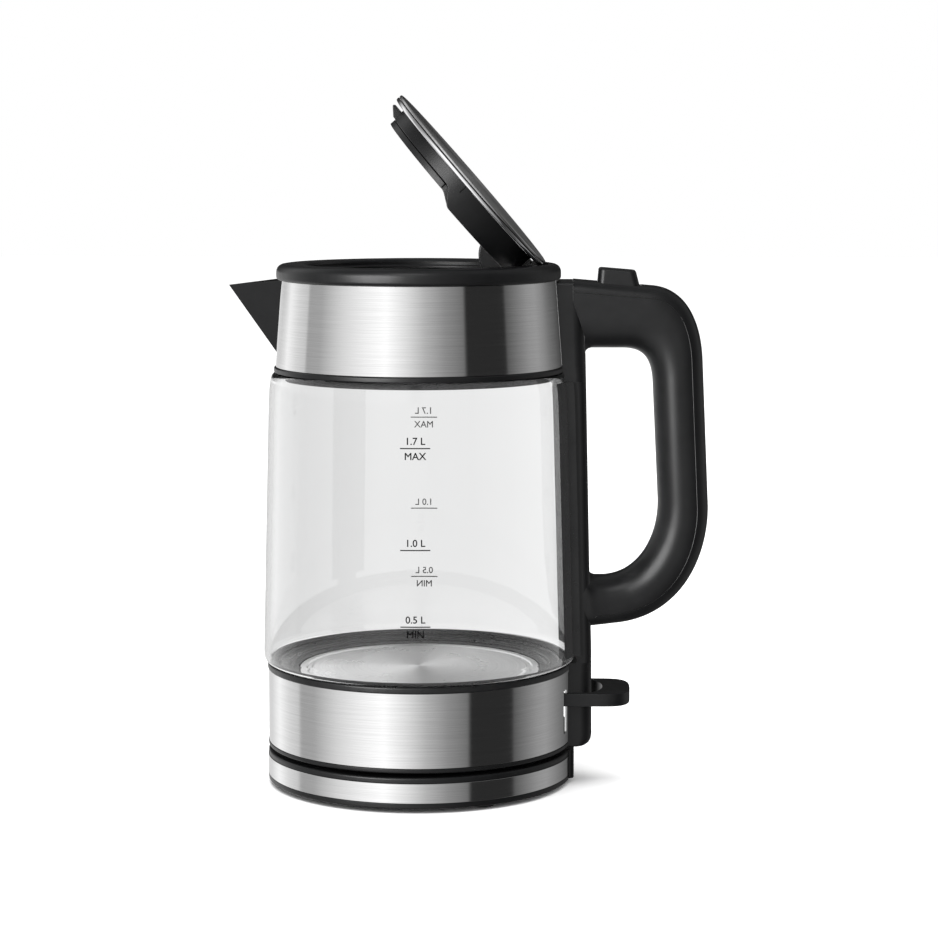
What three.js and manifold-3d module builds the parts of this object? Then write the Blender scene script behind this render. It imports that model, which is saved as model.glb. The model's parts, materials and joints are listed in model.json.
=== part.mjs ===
// Cordless glass electric kettle on its round power base, with the lid standing open.
//
// Millimetres, +Z up. The origin is the centre of the power base's underside.
// +X points to the handle, -X to the spout, and the plane Y = 0 is the plane of symmetry.
// Heights are measured from the underside; the rubber feet reach below it.

import * as THREE from 'three';
import { ConvexGeometry } from 'three/addons/geometries/ConvexGeometry.js';
import { mergeVertices } from 'three/addons/utils/BufferGeometryUtils.js';
import Module from 'manifold-3d';

const wasm = await Module();
wasm.setup();

// ---------------------------------------------------------------- driving dimensions

const gap = 0.3;                       // clearance between pieces that are cut to each other
const bigSides = 32;                   // facets round a body, band or glass
const smallSides = 16;                 // facets round a pin, screw or foot
const wall = 0.8;                      // sheet steel of the bands

const baseRadius = 72.5;               // power base
const baseTop = 14.5;
const baseBandBottom = 2.6;
const baseBandTop = 11.8;
const footHeight = 2;
const footRing = 62.5;

const jugBottom = 16.4;                // jug on the base
const lowerBandBottom = 18.6;
const lowerBandTop = 53.3;
const lowerBandRadius = 72.1;
const seatTop = 56.4;
const plateRadius = 57.3;
const plateTop = 53;

const glassWall = 2.45;
const glassOutside = [                 // [radius, height] up the outside of the glass
  [72.2, 56.7], [73.6, 58], [74.25, 61], [74.1, 66], [73.1, 105],
  [72.1, 143], [71, 181], [70.2, 190.4], [69.5, 192.6], [68.2, 194],
];

const trimBottom = 194.2;              // black ring between the glass and the upper band
const trimTop = 196.7;
const trimRadius = 68.4;
const upperBandBottom = 196.8;
const upperBandTop = 237.4;
const upperBandFoot = 67.6;            // the upper band is a cone
const upperBandHead = 64.5;

const collarRadius = 67;               // black ring round the mouth
const collarTop = 244.9;
const mouthRadius = 52.1;              // recess for the lid's cap
const ledgeTop = 242;
const ledgeBottom = 240.6;
const ledgeRadius = 46.2;

const hinge = { x: 55.75, z: 236.6 };  // lid hinge axis, along Y
const lidOpen = 49;                    // degrees from shut to the stop
const capRadius = 51.6;
const capTop = 245.7;
const capBottom = 242.3;
const skirtRadius = 45.6;
const hingePinRadius = 1.5;

const columnHalfWidth = 15;            // spine behind the jug
const columnBottom = 16.7;
const columnTop = 237.2;
const columnJoint = 76;                // face where the grip's top meets the column
const saddleHalfWidth = 28.3;
const saddleThickness = 1.7;

const gripHalfWidth = 13.5;            // handle
const coverDepth = 5.5;                // depth of the outer cover strip

const leverBottom = 36.7;              // power switch
const leverTop = 42.8;
const leverHalfWidth = 19.5;
const leverHoleHalfWidth = 16.5;
const leverTip = 81;                   // centre of the rounded tip
const leverPivot = { x: 39, z: 39.75 };

// ---------------------------------------------------------------- materials

function finish(color, roughness, metalness, opacity = 1) {
  return new THREE.MeshStandardMaterial({
    color, roughness, metalness, opacity, transparent: opacity < 1,
  });
}

const blackPlastic = finish(0x1c1d1e, 0.45, 0);
const innerPlastic = finish(0x2c2d2f, 0.6, 0);
const brushedSteel = finish(0xb9bbbd, 0.32, 1);
const polishedSteel = finish(0xd8dadc, 0.12, 1);
const plateSteel = finish(0xc8cacc, 0.28, 1);
const clearGlass = finish(0xf2f6f6, 0.03, 0, 0.25);
const blackRubber = finish(0x151515, 0.85, 0);
const silicone = finish(0x3a3b3d, 0.7, 0);
const brass = finish(0xc39a4a, 0.3, 1);
const aluminium = finish(0xa9acaf, 0.45, 1);

// ---------------------------------------------------------------- shapes

const kettle = new THREE.Group();

function add(name, geometry, look, parent = kettle) {
  const mesh = new THREE.Mesh(geometry, look);
  mesh.name = name;
  parent.add(mesh);
  return mesh;
}

// A solid of revolution about Z from [radius, height] points. The points run anticlockwise:
// outwards along the bottom, up the outside, back along the top and down the inside.
function spin(profile, sides = bigSides) {
  const points = profile.map(([radius, height]) => new THREE.Vector2(radius, height));
  if (profile[0][0] > 0) {
    points.push(points[0].clone());
  }
  return new THREE.LatheGeometry(points, sides).rotateX(Math.PI / 2);
}

function sleeve(inner, outer, z0, z1, sides = smallSides) {
  return spin([[inner, z0], [outer, z0], [outer, z1], [inner, z1]], sides);
}

function polygon(points) {
  return new THREE.Shape(points.map(([x, y]) => new THREE.Vector2(x, y)));
}

function box(x0, x1, y0, y1, z0, z1) {
  const geometry = new THREE.BoxGeometry(x1 - x0, y1 - y0, z1 - z0);
  return geometry.translate((x0 + x1) / 2, (y0 + y1) / 2, (z0 + z1) / 2);
}

function post(radius, x, y, z0, z1, sides = smallSides) {
  const geometry = new THREE.CylinderGeometry(radius, radius, z1 - z0, sides);
  return geometry.rotateX(Math.PI / 2).translate(x, y, (z0 + z1) / 2);
}

function pinAlongY(radius, x, z, y0, y1, sides = smallSides) {
  const geometry = new THREE.CylinderGeometry(radius, radius, y1 - y0, sides);
  return geometry.translate(x, (y0 + y1) / 2, z);
}

function pinAlongX(radius, x0, x1, y, z, sides = smallSides) {
  const geometry = new THREE.CylinderGeometry(radius, radius, x1 - x0, sides);
  return geometry.rotateZ(-Math.PI / 2).translate((x0 + x1) / 2, y, z);
}

// A slab whose outline is drawn in plan (x, y) and stands from z0 to z1.
function upright(shape, z0, z1) {
  const geometry = new THREE.ExtrudeGeometry(shape, {
    depth: z1 - z0, bevelEnabled: false, curveSegments: 8,
  });
  return geometry.translate(0, 0, z0);
}

// A slab whose outline is drawn from the side (x, z), centred on Y = 0, with round edges.
function sideSlab(shape, halfWidth, round = 0) {
  const geometry = new THREE.ExtrudeGeometry(shape, {
    depth: 2 * (halfWidth - round),
    bevelEnabled: round > 0,
    bevelSize: round,
    bevelThickness: round,
    bevelOffset: -round,
    bevelSegments: 2,
    curveSegments: 8,
  });
  return geometry.rotateX(Math.PI / 2).translate(0, halfWidth - round, 0);
}

// A round wire along a helix, as a coil spring standing on z0.
function coil(radius, wireRadius, turns, z0, z1) {
  const stepsPerTurn = 8;
  const points = [];
  for (let step = 0; step <= turns * stepsPerTurn; step += 1) {
    const angle = (2 * Math.PI * step) / stepsPerTurn;
    const height = z0 + ((z1 - z0) * step) / (turns * stepsPerTurn);
    points.push(new THREE.Vector3(radius * Math.cos(angle), radius * Math.sin(angle), height));
  }
  const section = new THREE.Shape();
  section.absarc(0, 0, wireRadius, 0, 2 * Math.PI, false);
  return new THREE.ExtrudeGeometry(section, {
    steps: turns * stepsPerTurn,
    extrudePath: new THREE.CatmullRomCurve3(points),
    curveSegments: 3,
  });
}

function toSolid(geometry) {
  const bare = geometry.clone();
  bare.deleteAttribute('normal');
  bare.deleteAttribute('uv');
  const merged = mergeVertices(bare, 1e-4);
  const corners = merged.index.array;
  const triangles = [];
  for (let at = 0; at < corners.length; at += 3) {
    const [a, b, c] = [corners[at], corners[at + 1], corners[at + 2]];
    if (a !== b && b !== c && c !== a) {
      triangles.push(a, b, c);
    }
  }
  return new wasm.Manifold(new wasm.Mesh({
    numProp: 3,
    vertProperties: merged.attributes.position.array,
    triVerts: new Uint32Array(triangles),
  }));
}

function toGeometry(solid) {
  const { vertProperties, triVerts } = solid.getMesh();
  const geometry = new THREE.BufferGeometry();
  geometry.setAttribute('position', new THREE.BufferAttribute(vertProperties, 3));
  geometry.setIndex(new THREE.BufferAttribute(triVerts, 1));
  geometry.computeVertexNormals();
  return geometry;
}

function cut(geometry, ...tools) {
  const result = tools.reduce((left, tool) => left.subtract(toSolid(tool)), toSolid(geometry));
  return toGeometry(result);
}

function join(geometry, ...others) {
  const result = others.reduce((left, other) => left.add(toSolid(other)), toSolid(geometry));
  return toGeometry(result);
}

function common(geometry, ...others) {
  const result = others.reduce((left, other) => left.intersect(toSolid(other)), toSolid(geometry));
  return toGeometry(result);
}

// ---------------------------------------------------------------- power base

const outletHalfWidth = 10;
const outletBack = 74;
const outletFront = 58;
const cordRadius = 3.6;
const cordHeight = 7.3;

function outletNotch() {
  const side = outletHalfWidth + gap;
  return box(outletFront - gap, outletBack + 5, -side, side, -1, baseTop + 1);
}

function screwPlaces(count, ring, start) {
  return Array.from({ length: count }, (_, index) => {
    const angle = start + (2 * Math.PI * index) / count;
    return [ring * Math.cos(angle), ring * Math.sin(angle)];
  });
}

const baseScrews = screwPlaces(3, 44, Math.PI);
const feet = screwPlaces(3, footRing, Math.PI);

function baseBottomCover() {
  const dish = spin([
    [0, 0], [30, 0], [30.6, 0.6], [32, 0.6], [32.6, 0], [72.4, 0], [72.4, 2.5],
    [71.2, 2.5], [71.2, 9], [69.6, 9], [69.6, 2.2], [0, 2.2],
  ]);
  const holes = baseScrews.flatMap(([x, y]) => [
    post(3.6, x, y, -1, 1.4, 12),
    post(1.8, x, y, 1, 3, 12),
  ]);
  return cut(dish, outletNotch(), ...holes);
}

function baseTopCover() {
  const plate = spin([
    [17.3, 12.1], [69.3, 12.1], [69.3, 10], [71.3, 10], [71.3, 11.9], [72.3, 11.9],
    [72.3, 13.8], [71.6, baseTop], [26, baseTop], [24.8, 13.7], [17.3, 13.7],
  ]);
  return cut(plate, outletNotch());
}

function baseConnector() {
  return spin([
    [2.3, 4], [16.8, 4], [16.8, 22.8], [15.9, 23.6], [12.9, 23.6], [12.9, 10], [10.9, 10],
    [10.9, 23.6], [6.6, 23.6], [6.6, 10], [4.6, 10], [4.6, 23.6], [2.3, 23.6],
  ], smallSides);
}

function cordOutlet() {
  const outline = new THREE.Shape();
  outline.moveTo(outletFront, -outletHalfWidth);
  outline.lineTo(outletBack - 2, -outletHalfWidth);
  outline.quadraticCurveTo(outletBack, -outletHalfWidth, outletBack, 2 - outletHalfWidth);
  outline.lineTo(outletBack, outletHalfWidth - 2);
  outline.quadraticCurveTo(outletBack, outletHalfWidth, outletBack - 2, outletHalfWidth);
  outline.lineTo(outletFront, outletHalfWidth);
  const block = upright(outline, gap, baseTop - 0.1);
  return cut(block, pinAlongX(cordRadius, outletFront - 1, outletBack + 1, 0, cordHeight, 16));
}

function addPowerBase() {
  add('base_bottom_cover', baseBottomCover(), blackPlastic);
  add('base_steel_band', cut(spin([
    [baseRadius - wall, baseBandBottom], [baseRadius, baseBandBottom],
    [baseRadius, baseBandTop], [baseRadius - wall, baseBandTop],
  ]), outletNotch()), brushedSteel);
  add('base_top_cover', baseTopCover(), blackPlastic);
  add('cord_outlet', cordOutlet(), blackPlastic);
  add('base_connector', baseConnector(), innerPlastic);
  add('contact_ring_outer', sleeve(12.3, 12.7, 10.2, 20), brass);
  add('contact_ring_inner', sleeve(6, 6.4, 10.2, 20), brass);
  add('earth_pin', spin([[0, 4], [1.9, 4], [1.9, 20], [1.2, 21.5], [0, 21.5]], 12), brass);
  feet.forEach(([x, y], index) => {
    const pad = spin([[0, -footHeight], [5.2, -footHeight], [6, -1.4], [6, 0], [0, 0]], smallSides);
    add(`rubber_foot_${index + 1}`, pad.translate(x, y, 0), blackRubber);
  });
  baseScrews.forEach(([x, y], index) => {
    const screw = spin([[0, 0.4], [3.2, 0.4], [3.2, 1.2], [1.4, 1.4], [1.4, 11], [0, 11.6]], 12);
    add(`base_screw_${index + 1}`, screw.translate(x, y, 0), polishedSteel);
  });
}

// ---------------------------------------------------------------- connector under the jug

function addConnectorSocket() {
  add('connector_socket', spin([
    [17.9, 15.6], [21.4, 15.6], [21.4, 27.4], [0, 27.4], [0, 25.4], [17.9, 25.4],
  ], smallSides), innerPlastic);
  add('socket_blade_outer', sleeve(11.3, 11.8, 14, 25.2), brass);
  add('socket_blade_inner', sleeve(5, 5.5, 14, 25.2), brass);
}

// ---------------------------------------------------------------- lower jug

function lowerSteelBand() {
  const band = spin([
    [lowerBandRadius - wall, lowerBandBottom], [lowerBandRadius, lowerBandBottom],
    [lowerBandRadius, lowerBandTop], [lowerBandRadius - wall, lowerBandTop],
  ]);
  const slots = [-20.5, 15.8].map((y) => box(60, 80, y, y + 4.7, 24, 45.2));
  return cut(band, ...slots);
}

function heatingElement() {
  const radius = 40;
  const height = 46.8;
  const open = 0.7;                    // half the opening of the horseshoe, in radians
  const steps = 24;
  const points = Array.from({ length: steps + 1 }, (_, index) => {
    const angle = open + ((2 * Math.PI - 2 * open) * index) / steps;
    return new THREE.Vector3(radius * Math.cos(angle), radius * Math.sin(angle), height);
  });
  const section = new THREE.Shape();
  section.absarc(0, 0, 2.9, 0, 2 * Math.PI, false);
  return new THREE.ExtrudeGeometry(section, {
    steps, extrudePath: new THREE.CatmullRomCurve3(points), curveSegments: 4,
  });
}

// The boil-dry and steam control, with two ears that hold the switch lever's pivot pin.
function thermostatControl() {
  const body = upright(polygon([
    [-28, -18], [-20, -24], [22, -24], [31, -16], [31, 16], [22, 24], [-20, 24], [-28, 18],
  ]), 28.2, 41);
  const ears = [-23.4, 20.4].map((y) => box(14, 42.5, y, y + 3, 36, 43.2));
  const bore = pinAlongY(1.8, leverPivot.x, leverPivot.z, -30, 30, 12);
  return cut(join(body, ...ears), bore);
}

function addLowerJug() {
  add('jug_bottom_cover', spin([
    [22.2, jugBottom], [71.6, jugBottom], [72.3, 17], [72.3, 18.5], [70.9, 18.5], [70.9, 23.6],
    [69.4, 23.6], [69.4, 18.4], [24, 18.4], [24, 26], [22.2, 26],
  ]), blackPlastic);
  add('lower_steel_band', lowerSteelBand(), brushedSteel);
  add('glass_seat_ring', spin([
    [57.7, 50], [70.8, 50], [70.8, 53.4], [72.5, 53.4], [72.5, seatTop], [67, seatTop],
    [66.2, 55.4], [60.8, 54.8], [60, 53.6], [57.7, 53.2],
  ]), innerPlastic);
  add('lower_glass_seal', spin([
    [67.2, 56.6], [69.4, 56.6], [70.3, 59.2], [69, 59.2], [67.2, 57.6],
  ]), silicone);
  add('heating_plate', spin([
    [0, 51.5], [plateRadius, 51.5], [plateRadius, plateTop], [0, plateTop],
  ]), plateSteel);
  add('heat_spreader', spin([[0, 49.9], [50, 49.9], [50, 51.3], [0, 51.3]]), aluminium);
  add('heating_element', heatingElement(), aluminium);
  add('thermostat_control', thermostatControl(), innerPlastic);
  add('boil_dry_disc', post(9, 0, 0, 41.3, 42.2), brass);
  add('switch_pivot_pin', pinAlongY(1.5, leverPivot.x, leverPivot.z, -24.4, 24.4, 12), polishedSteel);
}

// ---------------------------------------------------------------- glass and upper jug

function glassBody() {
  const inside = glassOutside.map(([radius, height]) => [radius - glassWall, height]);
  inside[0] = [70, 56.7];
  inside[inside.length - 1] = [66.6, 194];
  return spin([...glassOutside, ...inside.reverse()]);
}

function upperBandRadiusAt(z) {
  const share = (z - upperBandBottom) / (upperBandTop - upperBandBottom);
  return upperBandFoot + (upperBandHead - upperBandFoot) * share;
}

function upperCone(offset, z0, z1) {
  return spin([
    [0, z0], [upperBandRadiusAt(z0) + offset, z0], [upperBandRadiusAt(z1) + offset, z1], [0, z1],
  ]);
}

// The spout is a beak: two flat cheeks that meet in a straight front edge.
function beak(inset, top) {
  const tip = new THREE.Vector3(-89.8 + 2.2 * inset, 0, 234.8);
  const foot = new THREE.Vector3(-68 + 1.2 * inset, 0, 203.7 + 1.3 * inset);
  const rootX = -56;
  const rootTop = 238.4;
  const rootHalf = 19 - 1.2 * inset;
  const points = [
    tip, foot,
    new THREE.Vector3(rootX, rootHalf, rootTop), new THREE.Vector3(rootX, -rootHalf, rootTop),
    new THREE.Vector3(rootX, 0, 190),
  ];
  if (top > 0) {
    points.push(tip.clone().setZ(tip.z + top));
    points.push(new THREE.Vector3(rootX, rootHalf, rootTop + top));
    points.push(new THREE.Vector3(rootX, -rootHalf, rootTop + top));
  }
  return new ConvexGeometry(points);
}

function spout() {
  const shell = cut(beak(0, 0), beak(1.6, 8), upperCone(gap, 180, 260));
  return cut(shell, box(-70, 0, -40, 40, upperBandTop, 260));
}

function upperSteelBand() {
  const band = spin([
    [upperBandFoot - wall, upperBandBottom], [upperBandFoot, upperBandBottom],
    [upperBandHead, upperBandTop], [upperBandHead - wall, upperBandTop],
  ]);
  const window = common(beak(2.4, 8), box(-80, -50, -30, 30, 190, 234));
  return cut(band, window);
}

function filterArc(inner, outer, halfWidth, z0, z1) {
  const ring = sleeve(inner, outer, z0, z1, bigSides);
  return common(ring, box(-80, 0, -halfWidth, halfWidth, z0 - 1, z1 + 1));
}

function filterFrame() {
  return cut(filterArc(60.6, 62.4, 17, 204, 230), box(-80, -40, -14, 14, 206.5, 227.5));
}

// The room that the lid's cap needs on its way from shut to open.
function capSweep() {
  const steps = 9;
  return Array.from({ length: steps }, (_, index) => {
    const angle = ((lidOpen * (index + 1)) / steps) * (Math.PI / 180);
    const disc = spin([
      [0, capBottom - gap], [mouthRadius, capBottom - gap], [mouthRadius, 247], [0, 247],
    ]);
    return disc.translate(-hinge.x, 0, -hinge.z).rotateY(angle).translate(hinge.x, 0, hinge.z);
  });
}

function collar() {
  const ring = spin([
    [61.6, 235.5], [63.2, 235.5], [63.2, 237.5], [65.4, 237.5], [66.7, 238.6],
    [collarRadius, 240.2], [66.5, 242.2], [65, 244], [62, collarTop], [53, collarTop],
    [mouthRadius, 244.2],
    [mouthRadius, ledgeTop], [ledgeRadius, ledgeTop], [ledgeRadius, ledgeBottom],
    [61.6, ledgeBottom],
  ]);
  const ears = [-14.6, 11.2].map((y) => join(
    pinAlongY(5, hinge.x, hinge.z, y, y + 3.4, 16),
    box(hinge.x - 3, 61.4, y, y + 3.4, 231, hinge.z),
  ));
  const lipRelief = box(34, 54, -28, 28, 239, 243);
  const hingeSlot = box(40, hinge.x + 5.2, -10.9, 10.9, 239, 246);
  const opened = cut(ring, lipRelief, hingeSlot, ...capSweep());
  return cut(join(opened, ...ears), pinAlongY(hingePinRadius + gap, hinge.x, hinge.z, -20, 20, 12));
}

function lidSpring() {
  const spring = coil(3.1, 0.5, 3, 0, 3.6).rotateX(Math.PI / 2);
  return spring.translate(hinge.x, 10.7, hinge.z);
}

function addUpperJug() {
  add('glass_body', glassBody(), clearGlass);
  add('upper_glass_seal', spin([
    [64.2, 190.8], [66.8, 190.8], [66.2, 193.9], [64.2, 193.9],
  ]), silicone);
  add('upper_trim_ring', spin([
    [63.4, trimBottom], [trimRadius, trimBottom], [trimRadius, trimTop], [66.4, trimTop],
    [65.8, 203], [64.6, 203], [64.6, 196], [63.4, 196],
  ]), blackPlastic);
  add('upper_steel_band', upperSteelBand(), brushedSteel);
  add('collar', collar(), blackPlastic);
  add('spout', spout(), blackPlastic);
  add('filter_frame', filterFrame(), blackPlastic);
  add('filter_mesh', filterArc(61.3, 61.6, 13.7, 206.8, 227.2), plateSteel);
  add('hinge_pin', pinAlongY(hingePinRadius, hinge.x, hinge.z, -15.5, 15.5, 12), polishedSteel);
  add('lid_spring', lidSpring(), polishedSteel);
}

// ---------------------------------------------------------------- column and handle

// Everything that the column may not touch: the jug, with the saddle round the glass.
function jugEnvelope(extra) {
  const saddleOutside = gap + saddleThickness + gap + 0.05 + extra;
  const round = glassOutside.slice(2, 8).map(([radius, height]) => [radius + saddleOutside, height]);
  const saddleFoot = round[0][0];
  return spin([
    [0, 0], [lowerBandRadius + 0.5 + extra, 0], [lowerBandRadius + 0.5 + extra, 52.8],
    [72.9 + extra, 52.8], [72.9 + extra, 57.2], [saddleFoot, 57.2], ...round,
    [70.3 + extra, 194], [68.8 + extra, 194], [68.8 + extra, 197],
    [upperBandFoot + 0.4 + extra, 197], [upperBandHead + 0.4 + extra, 239], [0, 239],
  ]);
}

function columnSide() {
  const side = new THREE.Shape();
  side.moveTo(58, columnBottom);
  side.lineTo(77, columnBottom);
  side.quadraticCurveTo(82.3, columnBottom, 82.3, 22.5);
  side.lineTo(82, 65);
  side.lineTo(80.9, 104);
  side.lineTo(78.6, 205.2);
  side.lineTo(columnJoint, 205.2);
  side.lineTo(columnJoint, columnTop);
  side.lineTo(58, columnTop);
  return side;
}

function columnPlan() {
  const half = columnHalfWidth;
  const back = 82.4;
  const round = 5;
  const plan = new THREE.Shape();
  plan.moveTo(58, -half);
  plan.lineTo(back - round, -half);
  plan.quadraticCurveTo(back, -half, back, round - half);
  plan.lineTo(back, half - round);
  plan.quadraticCurveTo(back, half, back - round, half);
  plan.lineTo(58, half);
  return plan;
}

function column() {
  const body = common(sideSlab(columnSide(), 20), upright(columnPlan(), 10, 240));
  const steamDuct = common(jugEnvelope(3), box(50, 90, -9, 9, 62, 190));
  return cut(
    body, jugEnvelope(0), steamDuct,
    box(60, 80, -3.5, 3.5, 219.5, 224.5),
    pinAlongX(3.4, 60, 71.2, 0, 210, 12), pinAlongX(2, 70, 80, 0, 210, 12),
    pinAlongX(2, 76, 90, 0, 85, 12),
  );
}

function saddle() {
  const inside = glassOutside.slice(2, 8).map(([radius, height]) => [radius + gap, height]);
  const outside = inside.map(([radius, height]) => [radius + saddleThickness, height]);
  inside.reverse();
  const ring = spin([...outside, ...inside]);
  return common(ring, box(0, 90, -saddleHalfWidth, saddleHalfWidth, 50, 200));
}

// The outside of the handle, from the column over the top and down to the column again.
function handleOutside() {
  const path = new THREE.Path();
  path.moveTo(68, 238.2);
  path.lineTo(110, 234.8);
  path.bezierCurveTo(126, 233.5, 133, 218, 133.8, 199.4);
  path.lineTo(136.9, 132.7);
  path.bezierCurveTo(138.1, 112, 128.4, 77.5, 92.5, 74.8);
  path.lineTo(70, 72.6);
  return path.getPoints(9);
}

// The finger side of the handle, from the bottom up.
function handleInside() {
  const path = new THREE.Path();
  path.moveTo(70, 97.3);
  path.lineTo(87.6, 97.3);
  path.bezierCurveTo(103, 98.5, 113.6, 114, 113.1, 134);
  path.lineTo(110.4, 188);
  path.bezierCurveTo(110, 199.5, 107, 205.6, 96, 205.6);
  path.lineTo(68, 205.6);
  return path.getPoints(8);
}

// The same line moved sideways; a positive distance moves it to the left of its travel.
function besides(points, distance) {
  return points.map((point, index) => {
    const before = points[Math.max(index - 1, 0)];
    const after = points[Math.min(index + 1, points.length - 1)];
    const along = after.clone().sub(before).normalize();
    return new THREE.Vector2(point.x - distance * along.y, point.y + distance * along.x);
  });
}

function handleBlank() {
  const outline = new THREE.Shape([...handleOutside(), ...handleInside()]);
  return sideSlab(outline, gripHalfWidth, 5);
}

function coverZone(depth) {
  const outside = handleOutside();
  const strip = [...besides(outside, 4), ...besides(outside, -depth).reverse()];
  return sideSlab(new THREE.Shape(strip), 20);
}

const buttonFront = 84.3;
const buttonBack = 104.3;
const buttonHalfWidth = 8;

function buttonHole() {
  const side = buttonHalfWidth + 0.4;
  return box(buttonFront - 0.4, buttonBack + 0.4, -side, side, 226, 250);
}

// The room that the column takes at the handle's two ends; the lower end stops at footX.
function columnSpaces(footX) {
  return [
    box(40, footX, -20, 20, 60, 140),
    box(40, columnJoint + gap, -20, 20, 190, 250),
  ];
}

function handleGrip() {
  return cut(
    handleBlank(), coverZone(coverDepth + gap), ...columnSpaces(82.6),
    box(83, 106, -9, 9, 214, 240),
    box(70, 90, -3.5, 3.5, 219.5, 224.5),
    pinAlongX(2, 70, 93, 0, 210, 12), pinAlongX(2, 70, 96, 0, 85, 12),
  );
}

function handleCover() {
  const strip = common(handleBlank(), coverZone(coverDepth));
  return cut(strip, buttonHole(), ...columnSpaces(84));
}

function releaseButton() {
  const side = new THREE.Shape();
  side.moveTo(buttonFront, 233);
  side.lineTo(buttonBack, 233);
  side.lineTo(buttonBack, 239);
  side.lineTo(102.3, 241.9);
  side.lineTo(85.3, 243.3);
  side.lineTo(buttonFront, 240);
  const stem = sideSlab(polygon([[92, 224.5], [96, 220.5], [96, 234], [92, 234]]), 3);
  return join(sideSlab(side, buttonHalfWidth), stem);
}

function addColumnAndHandle() {
  add('column', column(), blackPlastic);
  add('glass_saddle', saddle(), innerPlastic);
  add('handle_grip', handleGrip(), blackPlastic);
  add('handle_cover', handleCover(), blackPlastic);
  add('handle_screw_upper', join(
    pinAlongX(3, 69, 71, 0, 210, 12), pinAlongX(1.6, 70.5, 92, 0, 210, 12),
  ), polishedSteel);
  add('handle_screw_lower', join(
    pinAlongX(3, 76.5, 78.3, 0, 85, 12), pinAlongX(1.6, 78, 95, 0, 85, 12),
  ), polishedSteel);
  add('release_button', releaseButton(), blackPlastic);
  add('button_spring', coil(2.4, 0.4, 5, 218.4, 232).translate(100, 0, 0), polishedSteel);
  add('release_slider', sideSlab(polygon([
    [70, 220], [95.6, 220], [91.6, 224], [70, 224],
  ]), 3), innerPlastic);
}

// ---------------------------------------------------------------- power switch

function switchLever() {
  const outline = new THREE.Shape();
  outline.moveTo(36, -leverHalfWidth);
  outline.lineTo(leverTip, -leverHalfWidth);
  outline.absarc(leverTip, 0, leverHalfWidth, -Math.PI / 2, Math.PI / 2, false);
  outline.lineTo(36, leverHalfWidth);
  const hole = new THREE.Path();
  hole.moveTo(42, -leverHoleHalfWidth);
  hole.lineTo(78, -leverHoleHalfWidth);
  hole.absellipse(78, 0, 9.5, leverHoleHalfWidth, -Math.PI / 2, Math.PI / 2, false);
  hole.lineTo(42, leverHoleHalfWidth);
  outline.holes.push(hole);
  const ring = upright(outline, leverBottom, leverTop);
  return cut(ring, pinAlongY(1.8, leverPivot.x, leverPivot.z, -30, 30, 12));
}

// ---------------------------------------------------------------- lid

// The lid is drawn shut, inside a group that turns it open about its hinge.
const skirtStepFront = -6;
const skirtStepBack = 3;
const frontBottom = 233;
const backBottom = 229.3;
const coverThickness = 2.8;

// A line across the lid from the side: one height in front, a lower one behind, an S between.
function lidUnderside(front, back) {
  const middle = (skirtStepFront + skirtStepBack) / 2;
  const line = new THREE.Path();
  line.moveTo(-60, front);
  line.lineTo(skirtStepFront, front);
  line.bezierCurveTo(middle, front, middle, back, skirtStepBack, back);
  line.lineTo(60, back);
  return line.getPoints(5);
}

// Everything from that line up to top.
function lidZone(front, back, top) {
  const line = lidUnderside(front, back).map((point) => [point.x, point.y]);
  return sideSlab(polygon([...line, [60, top], [-60, top]]), 60);
}

const tongueHalfWidth = 6;
const tongueTop = 240.3;

function lidBody() {
  const shell = spin([
    [43.8, 225], [skirtRadius, 225], [skirtRadius, 242], [46.1, 242], [46.1, 244.2], [0, 244.2],
    [0, 242.2], [43.8, 242.2],
  ]);
  const skirt = common(shell, lidZone(frontBottom + coverThickness + gap, backBottom, 250));
  const slot = box(-50, -40, -tongueHalfWidth - gap, tongueHalfWidth + gap, 235, tongueTop + gap);
  const armSlot = box(30, 50, -6.4, 6.4, 225, 241.4);
  return cut(skirt, slot, armSlot);
}

// The inner cover shows as a band under the skirt in front and lies inside the skirt behind.
function lidInnerCover() {
  const wide = common(
    spin([[0, 225], [44.9, 225], [44.9, 250], [0, 250]]),
    box(-60, skirtStepFront - gap, -60, 60, 220, 255),
  );
  const disc = join(wide, spin([[0, 225], [43.4, 225], [43.4, 250], [0, 250]]));
  const back = backBottom + 0.4;
  const layer = cut(
    common(disc, lidZone(frontBottom, back, 250)),
    lidZone(frontBottom + coverThickness, back + coverThickness, 260),
  );
  return cut(layer, box(22, 50, -6.4, 6.4, 225, 240));
}

function lidHingeArm() {
  const cheek = common(pinAlongY(12.8, 36.5, 233.9, -6, 6, 24), box(20, 60, -7, 7, 215, 241));
  const link = box(40, hinge.x, -6, 6, 233.4, 240);
  const knuckle = pinAlongY(4.6, hinge.x, hinge.z, -6, 6, 16);
  const bore = pinAlongY(hingePinRadius + gap, hinge.x, hinge.z, -8, 8, 12);
  return cut(join(cheek, link, knuckle), bore);
}

function latchTongue() {
  return sideSlab(polygon([
    [-50.4, tongueTop], [-50.3, 239.4], [-46.2, 236.2], [-24, 236.2], [-24, tongueTop],
  ]), tongueHalfWidth);
}

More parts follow.
